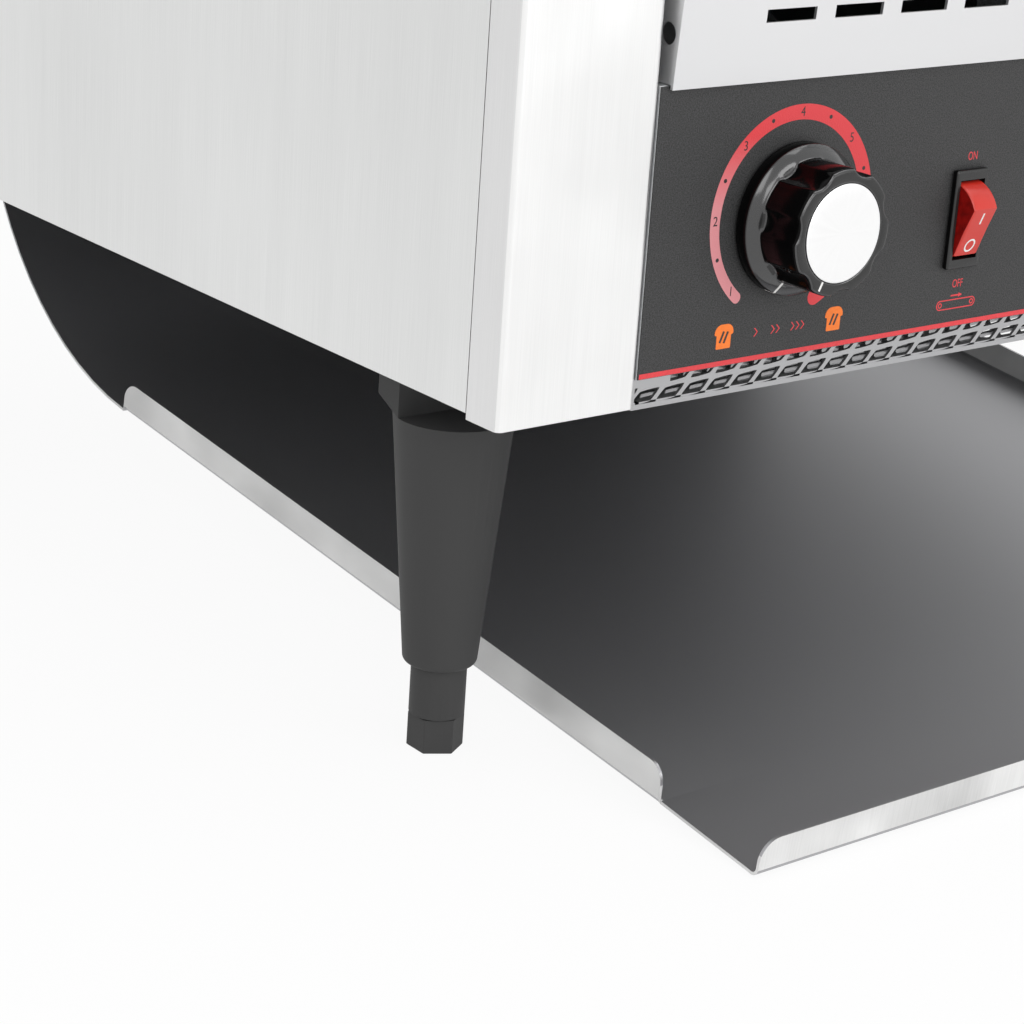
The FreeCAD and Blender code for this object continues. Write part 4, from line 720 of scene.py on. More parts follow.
@dataclass
class Body:
    """The toaster's folded shell: columns, sides, lid, rear panel and slotted cover."""

    dresser: Dresser
    edge: float = 0.25
    cover_half_width: float = 187.6
    cover_bend: float = 0.9

    def build(self) -> None:
        """Soften and dress the shell."""
        for side in ("left", "right"):
            column = self.dresser.softened(side + "_front_column", side + "_column_sheet", "toaster",
                                           COLUMN_STEEL, "column", self.edge)
            # The column's side faces take the darker copy, painted shade.
            reach = (-1.1, -0.9) if side == "left" else (0.9, 1.1)
            self.dresser.recoated(column, COLUMN_SIDE_PAINTED_SHADE_STEEL, (reach[0], -1.1, -1.1), (reach[1], 1.1, 1.1))
            self.dresser.softened(side + "_side_panel", side + "_side_sheet", "toaster", SIDE_STEEL,
                                  "side_panel", self.edge)
        self.dresser.softened("top_cover", "lid_sheet", "toaster", COVER_STEEL, "cover_steel", self.edge)
        self.dresser.softened("front_cover", "cover_sheet", "toaster", COVER_STEEL, "cover_steel", self.edge,
                              round_edges=self.cover_bend, round_x=self.cover_half_width)
        self.dresser.softened("control_panel", "panel_sheet", "toaster", REAR_STEEL, "panel_steel", self.edge)
        self.dresser.dress("rear_panel", REAR_STEEL)
        for name in ("left_inner_wall", "right_inner_wall", "left_base_rail", "right_base_rail",
                     "heat_shield", "rear_deflector", "component_plate", "tray_hanger"):
            self.dresser.dress(name, FRAME_STEEL)
        self.dresser.dress("feed_rack", WIRE_STEEL)
        self.dresser.dress("cord_gland", GLAND_BLACK)


@dataclass
class Tray:
    """The toast tray: one sheet with a lip, flanges with rounded ends, a curve and a hook."""

    dresser: Dresser
    half_width: float = 187.5
    sheet: float = 1.0
    bend: float = 1.6
    foot: tuple[float, float] = (-247.677, 0.5)
    tilt: float = 6.09
    lip: float = 12.0
    lip_corner: float = 7.0
    floor_run: float = 352.7
    flange: float = 12.4
    flange_start: float = 44.0
    front_round: float = 6.0
    rear_round: float = 8.0
    relief: float = 1.3
    chute_radius: float = 125.0
    hook: tuple[float, float, float] = (181.8, 217.97, 177.5)

    def _path(self) -> tuple[Array, Array, Array]:
        """Return the line of the sheet's under face, its normals and its places along the floor."""
        slope = math.radians(self.tilt)
        ahead = np.array((math.cos(slope), math.sin(slope)))
        up = np.array((-ahead[1], ahead[0]))
        foot = np.array(self.foot)
        back = (foot + ahead * self.floor_run + up * self.chute_radius)[0] + self.chute_radius
        knee = (back, foot[1] + (back - foot[0]) * math.tan(slope))
        top, far, low = self.hook
        corners = [foot + up * self.lip, foot, knee, (back, top), (far, top), (far, low)]
        line, normals = rounded(corners, [0, self.bend + self.sheet, self.chute_radius, 0.3, 0.3, 0],
                                ARC_STEPS)
        cut, steps = ARC_STEPS + 2, ARC_STEPS
        first, second = line[:cut], line[cut:]
        first_normals, second_normals = normals[:cut], normals[cut:]
        drop = np.linspace(0, 1, steps + 1)[:, None]
        lip_line = line[0] + (line[1] - line[0]) * (1 - np.cos(drop * math.pi / 2))
        start, end = self.flange_start, self.floor_run
        rising = self.front_round * (1 - np.cos(np.linspace(0.35, math.pi / 2, 7)))
        falling = self.rear_round * (1 - np.cos(np.linspace(math.pi / 2, 0.3, 7)))
        runs = np.concatenate([np.linspace(4, start - 1, 10), [start - 0.02, start], start + rising,
                               np.linspace(start + 9, end - 10, 26), end - falling, [end - 0.02]])
        floor = foot + runs[:, None] * ahead
        points = np.concatenate([lip_line[:-1], first[1:], floor, second])
        turned_up = np.concatenate([np.repeat(first_normals[:1], steps, 0), first_normals[1:],
                                    np.repeat(up[None], len(runs), 0), second_normals])
        places = np.concatenate([np.full(2 * steps + 1, -1.0), runs, np.full(len(second), -1.0)])
        return points, turned_up, places

    def shape(self) -> Shape:
        """Carry the flanged cross profile along the path.

        At each station the profile runs over the under face and back over the upper face. Where the
        flange height h is above the sheet, its bend has the radius bend * share, share = (h - 1) / bend,
        and the height at a rounded end is h - r + sqrt(r * r - (r - d) ** 2) at d from that end.

        Returns:
            The tray's closed surface.
        """
        line, normals, places = self._path()
        rise = np.full(len(line), self.sheet)
        inside = places >= self.flange_start - 1e-6
        inside &= places <= self.floor_run - 0.03
        d = np.clip(places[inside] - self.flange_start, 0, self.front_round)
        e = np.clip(self.floor_run - 0.03 - places[inside], 0, self.rear_round)
        front = np.sqrt(self.front_round ** 2 - (self.front_round - d) ** 2) - self.front_round
        rear = np.sqrt(self.rear_round ** 2 - (self.rear_round - e) ** 2) - self.rear_round
        rise[inside] = self.flange + front + rear
        height = np.linalg.norm(line - line[0], axis=1)
        inset = np.zeros(len(line))
        near = np.arange(len(line)) <= ARC_STEPS
        reach = np.clip(height[near], 0, self.lip_corner)
        inset[near] = self.lip_corner - np.sqrt(self.lip_corner ** 2 - (self.lip_corner - reach) ** 2)
        bare = (places > 0) & (places < self.flange_start - 0.01)
        inset[bare] = self.relief * places[bare] / self.flange_start
        width = self.half_width - inset
        share = np.clip((rise - self.sheet) / (self.bend + self.sheet), 0, 1)
        outer, inner = (self.bend + self.sheet) * share, self.bend * share
        turn = np.linspace(0, math.pi / 2, 7)
        floor = np.linspace(-1, 1, 9)[1:-1]
        wall = np.minimum(self.sheet, self.sheet * np.where(rise > self.sheet, 1, 0))

        def half(radius: Array, lift: float, side: Array, top: Array) -> tuple[Array, Array]:
            """Return the profile's left half from the flange's top to the floor's start."""
            a = -side[:, None] + radius[:, None] * (1 - np.cos(turn))
            b = lift + radius[:, None] * (1 - np.sin(turn))
            across = np.concatenate([-side[:, None], a], 1)
            above = np.concatenate([np.maximum(top, lift)[:, None], b], 1)
            return across, above

        under_a, under_b = half(outer, 0.0, width, rise)
        upper_a, upper_b = half(inner, self.sheet, width - wall, rise)
        reach = (width - outer)[:, None] * floor
        under_x = np.concatenate([under_a, reach, -under_a[:, ::-1]], 1)
        under_h = np.concatenate([under_b, np.zeros(reach.shape), under_b[:, ::-1]], 1)
        reach = (width - wall - inner)[:, None] * floor
        upper_x = np.concatenate([upper_a, reach, -upper_a[:, ::-1]], 1)
        upper_h = np.concatenate([upper_b, np.full(reach.shape, self.sheet), upper_b[:, ::-1]], 1)
        x = np.concatenate([under_x, upper_x[:, ::-1]], 1)
        h = np.concatenate([under_h, upper_h[:, ::-1]], 1)
        y = line[:, :1] + normals[:, :1] * h
        z = line[:, 1:] + normals[:, 1:] * h
        return loft(np.stack([x, y, z], -1))

    def build(self) -> None:
        """Make the tray."""
        made = self.dresser.piece("tray_sheet", self.shape(), "toast_tray", TRAY_STEEL, "tray_steel",
                                  ("toast_tray",), 40.0)
        # The flanges' outer faces and the lip's front take the painted-light copy.
        for low, high in (((-1.1, -0.2, -0.3), (-0.9, 0.2, 0.3)), ((0.9, -0.2, -0.3), (1.1, 0.2, 0.3)),
                          ((-0.3, -1.1, -0.16), (0.3, -0.9, -0.05))):
            self.dresser.recoated(made, FLANGE_PAINTED_LIGHT_STEEL, low, high)


@dataclass
class Guard:
    """The expanded metal under the controls: skewed cells, each a ring round a lens-shaped hole."""

    dresser: Dresser
    half_width: float = 190.2
    front: float = -181.05
    rear: float = 101.95
    foot: float = 121.5
    lip: float = 9.0
    sheet: float = 1.0
    cell: tuple[float, float] = (9.5, 0.0)
    row: tuple[float, float] = (3.5, 5.45)
    tip: tuple[float, float] = (5.32, 2.07)
    waist: tuple[float, float] = (1.95, -1.6)
    drop: float = 1.1
    columns: int = 40
    rows: int = 52
    shift: tuple[float, float] = (1.9, 5.225)
    squeeze: tuple[float, float] = (8.3, 0.2)
    margin: float = 0.06
    foot_hem: float = 0.45
    top_hem: float = 0.9
    end_hem: float = 0.5
    solid_end: float = 7.1
    solid_foot: float = 5.4
    front_hem: float = 2.2
    rear_hem: float = 4.0
    side_hem: float = 1.5
    rear_rise: float = 8.0

    def cells(self, columns: int, rows: int, count: int, high: float = 1.0) -> tuple[Array, Array]:
        """Work out the rings of a field of cells.

        With c = cos t and s = sin t, a cell's border is A c |c| + B s |s|, a rhomboid between half its
        long diagonal A and half its short one B. Its hole is P c |c| ** 0.8 + Q s |s| ** 0.6, a lens with
        its tip at P and its waist at Q.

        Args:
            columns: Cells in a row.
            rows: Rows of cells.
            count: Points of one ring.
            high: Stretch of the second coordinate.

        Returns:
            Border points and hole points, as cell, point and two flat coordinates.
        """
        t = np.linspace(0, 2 * math.pi, count, endpoint=False)
        c, s = np.cos(t)[:, None], np.sin(t)[:, None]
        cell, row = np.array(self.cell), np.array(self.row)
        border = (cell + row) / 2 * c * np.abs(c) + (cell - row) / 2 * s * np.abs(s)
        hole = np.array(self.tip) * c * np.abs(c) ** 0.8 + np.array(self.waist) * s * np.abs(s) ** 0.6
        i, j = np.meshgrid(np.arange(columns), np.arange(rows), indexing="ij")
        shift = (i.ravel() - (columns - 1) / 2)[:, None] * cell + (j.ravel() - (rows - 1) / 2)[:, None] * row
        wrap = columns * cell[0]
        shift[:, 0] = (shift[:, 0] + wrap / 2) % wrap - wrap / 2
        stretch = np.array((1.0, high))
        return (border[None] + shift[:, None]) * stretch, (hole[None] + shift[:, None]) * stretch

    def net(self, border: Array, hole: Array, flat: Sequence[int], depth: int, low: float) -> Shape:
        """Give the cells their thickness: both faces and the wall of every hole.

        Args:
            border: Border points of every cell.
            hole: Hole points of every cell.
            flat: Which coordinates the flat points take.
            depth: Which coordinate the thickness takes.
            low: Where the thickness starts.

        Returns:
            The net's surface.
        """
        count, points = border.shape[:2]
        loops = []
        high = low + self.sheet
        for ring, height in ((border, low), (hole, low), (hole, high), (border, high)):
            full = np.zeros((count, points, 3))
            full[..., flat[0]] = ring[..., 0]
            full[..., flat[1]] = ring[..., 1]
            full[..., depth] = height
            loops.append(full)
        stack = np.stack(loops, 1)
        number = np.arange(count)[:, None, None] * 4 * points
        i = np.arange(3)[None, :, None] * points
        j = np.arange(points)[None, None, :]
        right = (j + 1) % points
        quads = np.stack([number + i + j, number + i + points + j, number + i + points + right,
                          number + i + right], -1)
        return Shape(stack.reshape(-1, 3), [quads.reshape(-1, 4)])

    def strip(self, x: float, low: tuple[float, float], high: tuple[float, float], half: float) -> Shape:
        """Make a solid margin bar along X between two corners in Y and Z.

        Args:
            x: The bar's middle.
            low: Lower corner.
            high: Upper corner.
            half: Half its length.

        Returns:
            The bar.
        """
        ring = np.array([(low[0], low[1]), (high[0], low[1]), (high[0], high[1]), (low[0], high[1])])
        rings = [np.column_stack([np.full(4, x + side * half), ring]) for side in (-1, 1)]
        return loft(np.array(rings))

    def build(self) -> None:
        """Make the upright front strip, the floor and the turned-up rear edge."""
        top, foot = self.foot + self.lip, self.foot
        border, hole = self.cells(self.columns, 2, 20)
        knee, share = foot + self.squeeze[0], self.squeeze[1]
        for ring in (border, hole):
            ring[..., 0] += self.shift[0]
            ring[..., 1] += foot + self.shift[1]
            ring[..., 1] = np.where(ring[..., 1] > knee, knee + (ring[..., 1] - knee) * share, ring[..., 1])
            ring[..., 0] = np.clip(ring[..., 0], -self.half_width, self.half_width)
        front = self.net(border, hole, (0, 2), 1, self.front)
        gap = self.margin
        near, far = self.front - gap, self.front + self.sheet + gap
        bars = [self.strip(0, (near, foot - self.drop), (far, foot + self.foot_hem), self.half_width),
                self.strip(0, (near, top - self.top_hem), (far, top), self.half_width),
                self.strip(self.solid_end - self.half_width, (near - gap, foot + self.solid_foot),
                           (far + gap, top), self.solid_end)]
        for side in (-1, 1):
            bars.append(self.strip(side * (self.half_width - self.end_hem), (near, foot + 0.4), (far, top),
                                   self.end_hem))
        self.dresser.piece("guard_front_net", joined([front] + bars), "toaster", GUARD_STEEL, "guard_steel",
                           ("bottom_guard",), 30.0)
        depth = self.rear - self.front - 3.0
        border, hole = self.cells(self.columns, self.rows, 8, depth / self.rows / self.row[1])
        centre = (self.front + self.rear) / 2
        for ring in (border, hole):
            ring[..., 1] = np.clip(ring[..., 1] + centre, self.front + 0.2, self.rear - 0.2)
            ring[..., 0] = np.clip(ring[..., 0], -self.half_width, self.half_width)
        floor = self.net(border, hole, (0, 1), 2, foot)
        edge, over = self.half_width - self.side_hem, foot + self.sheet + gap
        bars = [self.strip(0, (self.front, foot), (self.front + self.front_hem, over), edge),
                self.strip(0, (self.rear - self.rear_hem, foot), (self.rear, over), edge),
                self.strip(0, (self.rear - self.sheet, foot), (self.rear, foot + self.rear_rise),
                           self.half_width)]
        for side in (-1, 1):
            bars.append(self.strip(side * edge, (self.front, foot), (self.rear, over), self.side_hem))
        self.dresser.piece("guard_floor_net", joined([floor] + bars), "toaster", GUARD_STEEL, "guard_steel",
                           (), 30.0)


@dataclass
class Knob:
    """The speed knob: bevelled skirt, fluted grip, bright cap and its white marks."""

    dresser: Dresser
    centre: tuple[float, float, float] = (-135.6, -182.95, 172.2)
    grip: float = 18.7
    length: float = 21.4
    flutes: int = 7
    flute_radius: float = 7.0
    flute_depth: float = 1.6
    flute_turn: float = 19.0
    cap: float = 14.5
    soft: float = 0.45
    profile: tuple[tuple[float, float, float], ...] = (
        (3.1, 16.3, 0), (3.1, 5.6, 0), (16.0, 5.6, 0), (16.0, 0.4, 0), (22.1, 0.4, 0), (22.5, 0.8, 0),
        (22.5, 4.6, 0), (22.35, 4.95, 0), (19.6, 6.35, 0), (19.1, 6.62, 0.25), (18.8, 6.9, 0.85),
        (18.7, 7.3, 1), (18.7, 11.5, 1), (18.7, 16, 1), (18.7, 20.2, 1), (18.5, 20.95, 1), (18.1, 21.3, 1),
        (17.6, 21.4, 1), (15.1, 21.4, 0), (14.85, 21.3, 0), (14.8, 20.8, 0))
    grip_mark: float = 245.0
    skirt_mark: float = 246.5

    def grip_shape(self) -> Shape:
        """Loft the knob from its hollow back over the skirt and the grip to the cap's seat.

        A ray at the angle p from a flute's middle meets the flute at R cos p - sqrt(r r - R R sin p sin p),
        with R the distance of the flute's centre. The radius is the softened lesser of that and the grip.
        Each row of the profile gives a radius, a height and the share of the flutes that it shows.

        Returns:
            The knob's closed surface.
        """
        angle = np.linspace(0, 2 * math.pi, 216, endpoint=False)
        step = 2 * math.pi / self.flutes
        off = (angle - math.radians(self.flute_turn) + step / 2) % step - step / 2
        reach = self.grip + self.flute_radius - self.flute_depth
        root = np.maximum(self.flute_radius ** 2 - (reach * np.sin(off)) ** 2, 0)
        flute = np.where(root > 0, reach * np.cos(off) - np.sqrt(root), self.grip + 6)
        blend = np.maximum(self.soft - np.abs(flute - self.grip), 0) / self.soft
        fluted = np.minimum(flute, self.grip) - blend ** 2 * self.soft / 4
        deep = fluted - self.grip
        u, v, w = Axis.FRONT.frame()
        across = np.cos(angle)[:, None] * u + np.sin(angle)[:, None] * v
        table = np.array(self.profile)
        radius = table[:, :1] + table[:, 2:] * deep[None]
        rows = np.array(self.centre) + table[:, 1][:, None, None] * w + radius[..., None] * across
        return loft(rows)

    def bar(self, angle: float, start: tuple[float, float], end: tuple[float, float], width: float = 0.75,
            skin_depth: float = 0.05) -> Shape:
        """Lay a thin bar on a straight run of the knob's profile.

        Args:
            angle: Where it lies round the axis, in degrees.
            start: Its radius and height at one end.
            end: Its radius and height at the other end.
            width: Its width.
            skin_depth: How far it stands out of the surface and reaches into it.

        Returns:
            The bar.
        """
        a = math.radians(angle)
        out, side = np.array((math.cos(a), 0, math.sin(a))), np.array((-math.sin(a), 0, math.cos(a)))
        front = np.array((0, -1, 0))
        run = np.array(end, float) - np.array(start, float)
        run /= np.linalg.norm(run)
        normal = (-run[1] * out + run[0] * front) * skin_depth
        rings = []
        for radius, height in (start, end):
            middle = np.array(self.centre) + radius * out + height * front
            rings.append([middle + normal - side * width / 2, middle + normal + side * width / 2,
                          middle - normal + side * width / 2, middle - normal - side * width / 2])
        return loft(np.array(rings))

    def build(self) -> None:
        """Make the knob, its cap and its marks."""
        grip = self.dresser.piece("knob_grip", self.grip_shape(), "speed_knob", KNOB_BLACK, "knob_black",
                                  ("speed_knob",), 50.0)
        # The grip's side faces take the near-black copy, painted shade.
        self.dresser.recoated(grip, KNOB_SIDE_PAINTED_SHADE, (-1.1, -0.35, -1.1), (1.1, 0.35, 1.1))
        self.dresser.recoated(grip, KNOB_BEVEL_BLACK, (-1.1, -0.96, -1.1), (1.1, -0.5, 1.1))
        x, y, z = self.centre
        profile = [(13.9, -0.9), (self.cap, -0.9), (self.cap, -0.25), (14.15, -0.05), (13.9, 0.0), (9.0, 0.0),
                   (4.0, 0.0), (0.5, 0.0)]
        face = -self.length + 0.6 - 0.9
        cap = turned([(r, h - face) for r, h in profile], (x, y, z), Axis.FRONT, 96)
        finish = SpunFinish("spun_aluminium", (0.985, 0.985, 0.985), (x, y + face, z))
        self.dresser.piece("knob_face", cap, "speed_knob", finish, "turned_aluminium", ("knob_cap",), 40.0)
        marks = [self.bar(self.grip_mark, (14.95, 21.4), (17.8, 21.4)),
                 self.bar(self.skirt_mark, (18.95, 6.7), (19.65, 6.33)),
                 self.bar(self.skirt_mark, (19.6, 6.36), (22.38, 4.94)),
                 self.bar(self.skirt_mark, (22.5, 4.7), (22.5, 1.2), 0.5)]
        self.dresser.piece("knob_marks", joined(marks), "speed_knob", PRINT_WHITE, "knob_black")
        self.dresser.dress("knob_shaft", SHAFT_STEEL)
        self.dresser.dress("speed_control", CONTROL_ZINC)


@dataclass
class Rockers:
    """The three switches: bezel and housing, tipped red rocker, and its white marks."""

    dresser: Dresser
    places: tuple[tuple[str, float], ...] = (("train", -62.3), ("upper_heat", 35.7), ("lower_heat", 133.7))
    pivot: tuple[float, float] = (-181.05, 164.7)
    face: float = 8.43
    half_length: float = 8.54
    half_width: float = 5.0
    heel: float = 54.0
    tilt: float = 22.0
    edge_round: float = 0.7
    line_share: float = 0.21
    ring_share: float = 0.79
    ring_radii: tuple[float, float] = (2.15, 1.6)

    def span(self) -> tuple[float, float, float]:
        """Return the reach from the pivot to the face's ends, and the angles of its upper and lower end."""
        half, tip = math.atan2(self.half_length, self.face), math.radians(self.tilt)
        return math.hypot(self.face, self.half_length), half - tip, -half - tip

    def rocker(self, x: float) -> Shape:
        """Loft the rocker across its width, with its side edges drawn in by a small round.

        The profile goes round the flat face, the lower end, the back and the upper end;
        each station across is the profile drawn in by r - sqrt(r r - d d).

        Args:
            x: The middle of the switch.

        Returns:
            The closed rocker.
        """
        swing, up, low = self.span()
        heel = math.radians(self.heel)
        share = np.linspace(0, 1, 7)
        ends = [np.array((-math.cos(a), math.sin(a))) * swing for a in (up, low)]
        front = ends[0] + share[:, None] * (ends[1] - ends[0])
        arc = np.linspace(low, low - heel, 12)[1:]
        below = np.stack([-np.cos(arc), np.sin(arc)], -1) * swing
        arc = np.linspace(up + heel, up, 12)[:-1]
        above = np.stack([-np.cos(arc), np.sin(arc)], -1) * swing
        outline = np.concatenate([front, below, above])
        centre = outline.mean(0)
        away = outline - centre
        size = np.linalg.norm(away, axis=1)[:, None]
        drawn = np.array([0.7, 0.3, 0.08, 0.0]) * self.edge_round
        inset = np.concatenate([drawn, drawn[::-1]])
        side = self.half_width - np.array([0.0, 0.2, 0.5, 0.9])
        across = np.concatenate([-side, side[::-1]])
        rings = []
        for gap, dx in zip(inset, across):
            ring = centre + away * (1 - gap / size)
            rings.append(np.column_stack([np.full(len(ring), x + dx), ring + np.array(self.pivot)]))
        return loft(np.array(rings))

    def mark(self, x: float, points: Array, share: float) -> Shape:
        """Lay a flat outline on the rocker's face.

        Args:
            x: The middle of the switch.
            points: Flat points across the face and along it.
            share: The place along the face, from its upper to its lower end.

        Returns:
            The closed mark.
        """
        tip = math.radians(self.tilt)
        swing, upper, lower = self.span()
        ends = [np.array((-math.cos(a), math.sin(a))) * swing for a in (upper, lower)]
        along = (ends[0] - ends[1]) / np.linalg.norm(ends[0] - ends[1])
        out = np.array((-math.cos(tip), -math.sin(tip)))
        middle = ends[0] + share * (ends[1] - ends[0])
        rings = []
        for lift in (0.05, -0.05):
            flat = middle + points[:, 1:] * along + lift * out
            rings.append(np.column_stack([x + points[:, 0], flat + np.array(self.pivot)]))
        return loft(np.array(rings))

    def ring_mark(self, x: float) -> Shape:
        """Return the circle of the OFF end: a closed band between two ellipses on the face."""
        count = 32
        angle = np.linspace(0, 2 * math.pi, count, endpoint=False)
        circle = np.stack([np.cos(angle), 1.12 * np.sin(angle)], -1)
        outer, inner = (self.mark(x, circle * radius, self.ring_share).points for radius in self.ring_radii)
        rings = np.stack([outer[:count], outer[count:], inner[count:], inner[:count]])
        return skin(rings, around=True, along=True)

    def build(self) -> None:
        """Make the three switches."""
        for name, x in self.places:
            bezel = self.dresser.softened(name + "_housing", name + "_bezel", "toaster", BEZEL_BLACK,
                                          "bezel_black", 0.25)
            # The bezel's side faces take the near-black copy, painted shade.
            self.dresser.recoated(bezel, BEZEL_SIDE_PAINTED_SHADE, (-1.1, -0.3, -1.1), (1.1, 0.3, 1.1))
            switch = self.dresser.piece(name + "_switch", self.rocker(x), name + "_rocker", ROCKER_RED,
                                        "rocker_red", (name + "_rocker",), 30.0)
            # The rocker's side faces take the darker copy: painted shade and painted glow.
            self.dresser.recoated(switch, ROCKER_SIDE_PAINTED_SHADE_AND_GLOW, (-1.1, -0.2, -0.2), (1.1, 0.2, 0.2))
            bar = np.array([(-0.3, -2.0), (0.3, -2.0), (0.3, 2.0), (-0.3, 2.0)])
            marks = joined([self.mark(x, bar, self.line_share), self.ring_mark(x)])
            self.dresser.piece(name + "_switch_marks", marks, name + "_rocker", PRINT_WHITE, "rocker_red")


@dataclass
class Prints:
    """What is printed on the black film: dial, digits, slices, line, words and signs."""

    dresser: Dresser
    film: float = -182.95
    ink: float = 0.03
    knob: tuple[float, float] = (-135.6, 173.4)
    first_digit: float = 224.4
    digit_step: float = 45.1
    outer: float = 31.9
    inner: float = 28.5
    digit_reach: tuple[float, float] = (30.15, -0.14)
    line_half: float = 189.7
    line_z: tuple[float, float] = (130.1, 131.6)
    slices: tuple[tuple[str, float], ...] = (("left", -158.2), ("right", -113.9))
    slice_z: float = 138.9
    switches: tuple[float, ...] = (-61.1, 36.9, 134.9)
    word_z: tuple[tuple[str, float], ...] = (("ON", 184.0), ("OFF", 143.9))
    sign_z: float = 137.3
    digit_size: tuple[float, float, float] = (2.8, 0.9, 2.2)
    word_size: tuple[float, float, float] = (2.6, 0.72, 1.0)
    dot: float = 0.62
    dial_ends: tuple[float, float] = (233.7, -70.0)
    belt_at: tuple[float, float] = (-60.9, 137.3)
    belt_half: float = 7.0
    speed_at: tuple[float, float] = (-136.9, 138.7)

    def dial(self) -> Shape:
        """Return the tapered arc: outer radius fixed, inner radius sinking evenly, ends rounded.

        The half width w and the middle radius m give the edges m + w k and m - w k, and towards both
        ends k falls as sqrt(1 - d d), with d the distance past the last full place over w.
        """
        (first, last), end = np.radians(self.dial_ends), 0.09
        fine = end * (1 - np.cos(np.linspace(0, math.pi / 2, 14)))
        angle = np.concatenate([first - fine, np.linspace(first - end, last + end, 150)[1:-1],
                                (last + fine)[::-1]])
        share = (first - angle) / (first - last)
        inner = self.inner - 1.8 * np.clip((share - 0.1) / 0.6, 0, 1)
        w, m = (self.outer - inner) / 2, (self.outer + inner) / 2
        ahead = np.abs(angle - angle[0]) * m
        behind = np.abs(angle - angle[-1]) * m
        d = 1 - np.clip(np.minimum(ahead, behind) / w, 0, 1)
        k = np.sqrt(np.clip(1 - d ** 2, 0.0004, 1))
        rings = []
        for radius, y in ((m + w * k, 0), (m + w * k, 1), (m - w * k, 1), (m - w * k, 0)):
            rings.append(np.stack([self.knob[0] + radius * np.cos(angle),
                                   np.full(len(angle), self.film - self.ink * y),
                                   self.knob[1] + radius * np.sin(angle)], -1))
        return loft(np.stack(rings, 1))

    def on_dial(self, angle: float, reach: float) -> tuple[float, float]:
        """Return the place at an angle and a distance from the knob's axis."""
        return self.knob[0] + reach * math.cos(angle), self.knob[1] + reach * math.sin(angle)

    def word(self, text: str, x: float, z: float, height: float, narrow: float = 0.85,
             raised: float = 2.0) -> Shape:
        """Turn lettering into a thin closed shape on the film.

        Args:
            text: What it says.
            x: Its middle.
            z: Its middle.
            height: The height of a capital.
            narrow: Its width as a share of the font's.
            raised: How many ink thicknesses it stands over the film.

        Returns:
            The lettering as a shape.
        """
        curve = bpy.data.curves.new("lettering", "FONT")
        curve.body = text
        curve.align_x, curve.align_y = "CENTER", "CENTER"
        curve.resolution_u = 4
        curve.extrude = 0.5
        carrier = bpy.data.objects.new("lettering", curve)
        bpy.context.scene.collection.objects.link(carrier)
        bpy.context.view_layer.update()
        mesh = bpy.data.meshes.new_from_object(carrier)
        bpy.data.objects.remove(carrier)
        bpy.data.curves.remove(curve)
        points = np.zeros(len(mesh.vertices) * 3, np.float32)
        mesh.vertices.foreach_get("co", points)
        points = points.reshape(-1, 3).astype(float)
        middle = (points.max(0) + points.min(0)) / 2
        points -= middle
        scale = height / (points[:, 1].max() - points[:, 1].min())
        flat = np.stack([x + points[:, 0] * scale * narrow,
                         self.film - self.ink * (raised / 2 + points[:, 2] * raised),
                         z + points[:, 1] * scale], -1)
        faces = [np.array([list(f.vertices)]) for f in mesh.polygons]
        bpy.data.meshes.remove(mesh)
        return Shape(flat, faces)

    def slice_sign(self, x: float, z: float) -> tuple[Shape, Shape]:
        """Return a toast slice with two slashes, the crust a rounded square under two lobes."""
        body, _ = rounded([(0, -3.65), (2.8, -3.65), (2.8, 0.5), (3.65, 0.5), (3.65, 3.7), (0, 3.7)],
                          [0, 0.4, 0.3, 0.5, 2.6, 0], 6)
        outline = np.concatenate([body, (body * (-1, 1))[::-1][1:-1]])
        crust = plate(outline, (x, z), self.film - self.ink, self.film)
        slash = np.array([(-1.05, -1.55), (-0.35, -1.8), (1.05, 1.55), (0.35, 1.8)])
        cuts = [plate(slash + (dx, dz), (x, z), self.film - 2 * self.ink, self.film)
                for dx, dz in ((-0.8, -0.1), (0.8, -0.3))]
        return crust, joined(cuts)

    def belt_sign(self, x: float, z: float, width: float) -> Shape:
        """Return the sign of a belt over two rollers: a rounded band, two rings and an arrow."""
        angle = np.linspace(0, 2 * math.pi, 48, endpoint=False)
        round_end = np.stack([np.cos(angle), np.sin(angle)], -1)
        shift = np.where(np.abs(np.cos(angle)) < 1e-9, 0, np.sign(np.cos(angle)))[:, None] * (1.0, 0.0)

        def band(outer: Array, inner: Array) -> Shape:
            """Return a closed ring between two outlines."""
            rings = []
            for flat, y in ((outer, 0), (outer, 1), (inner, 1), (inner, 0)):
                rings.append(np.stack([x + flat[:, 0], np.full(len(flat), self.film - self.ink * y),
                                       z + flat[:, 1]], -1))
            return skin(np.array(rings), around=True, along=True)

        shapes = [band(round_end * 1.6 + shift * width, round_end * 1.25 + shift * width)]
        for side in (-1, 1):
            middle = np.array((side * width, 0))
            shapes.append(band(round_end * 0.85 + middle, round_end * 0.5 + middle))
        arrow = np.array([(-2.6, 2.5), (0.8, 2.5), (0.8, 2.05), (2.4, 2.75), (0.8, 3.45), (0.8, 3.0),
                          (-2.6, 3.0)])
        return joined(shapes + [plate(arrow, (x, z), self.film - self.ink, self.film)])

    def speed_sign(self, x: float, z: float) -> Shape:
        """Return the sign of slow to fast: one, two and three chevrons between two short bars."""
        chevron = np.array([(-0.9, 1.3), (-0.45, 1.3), (0.75, 0), (-0.45, -1.3), (-0.9, -1.3), (0.3, 0)])
        places = [-8.6, -1.8, 0.2, 6.2, 8.2, 10.2]
        return joined([plate(chevron, (x + p, z), self.film - self.ink, self.film) for p in places])

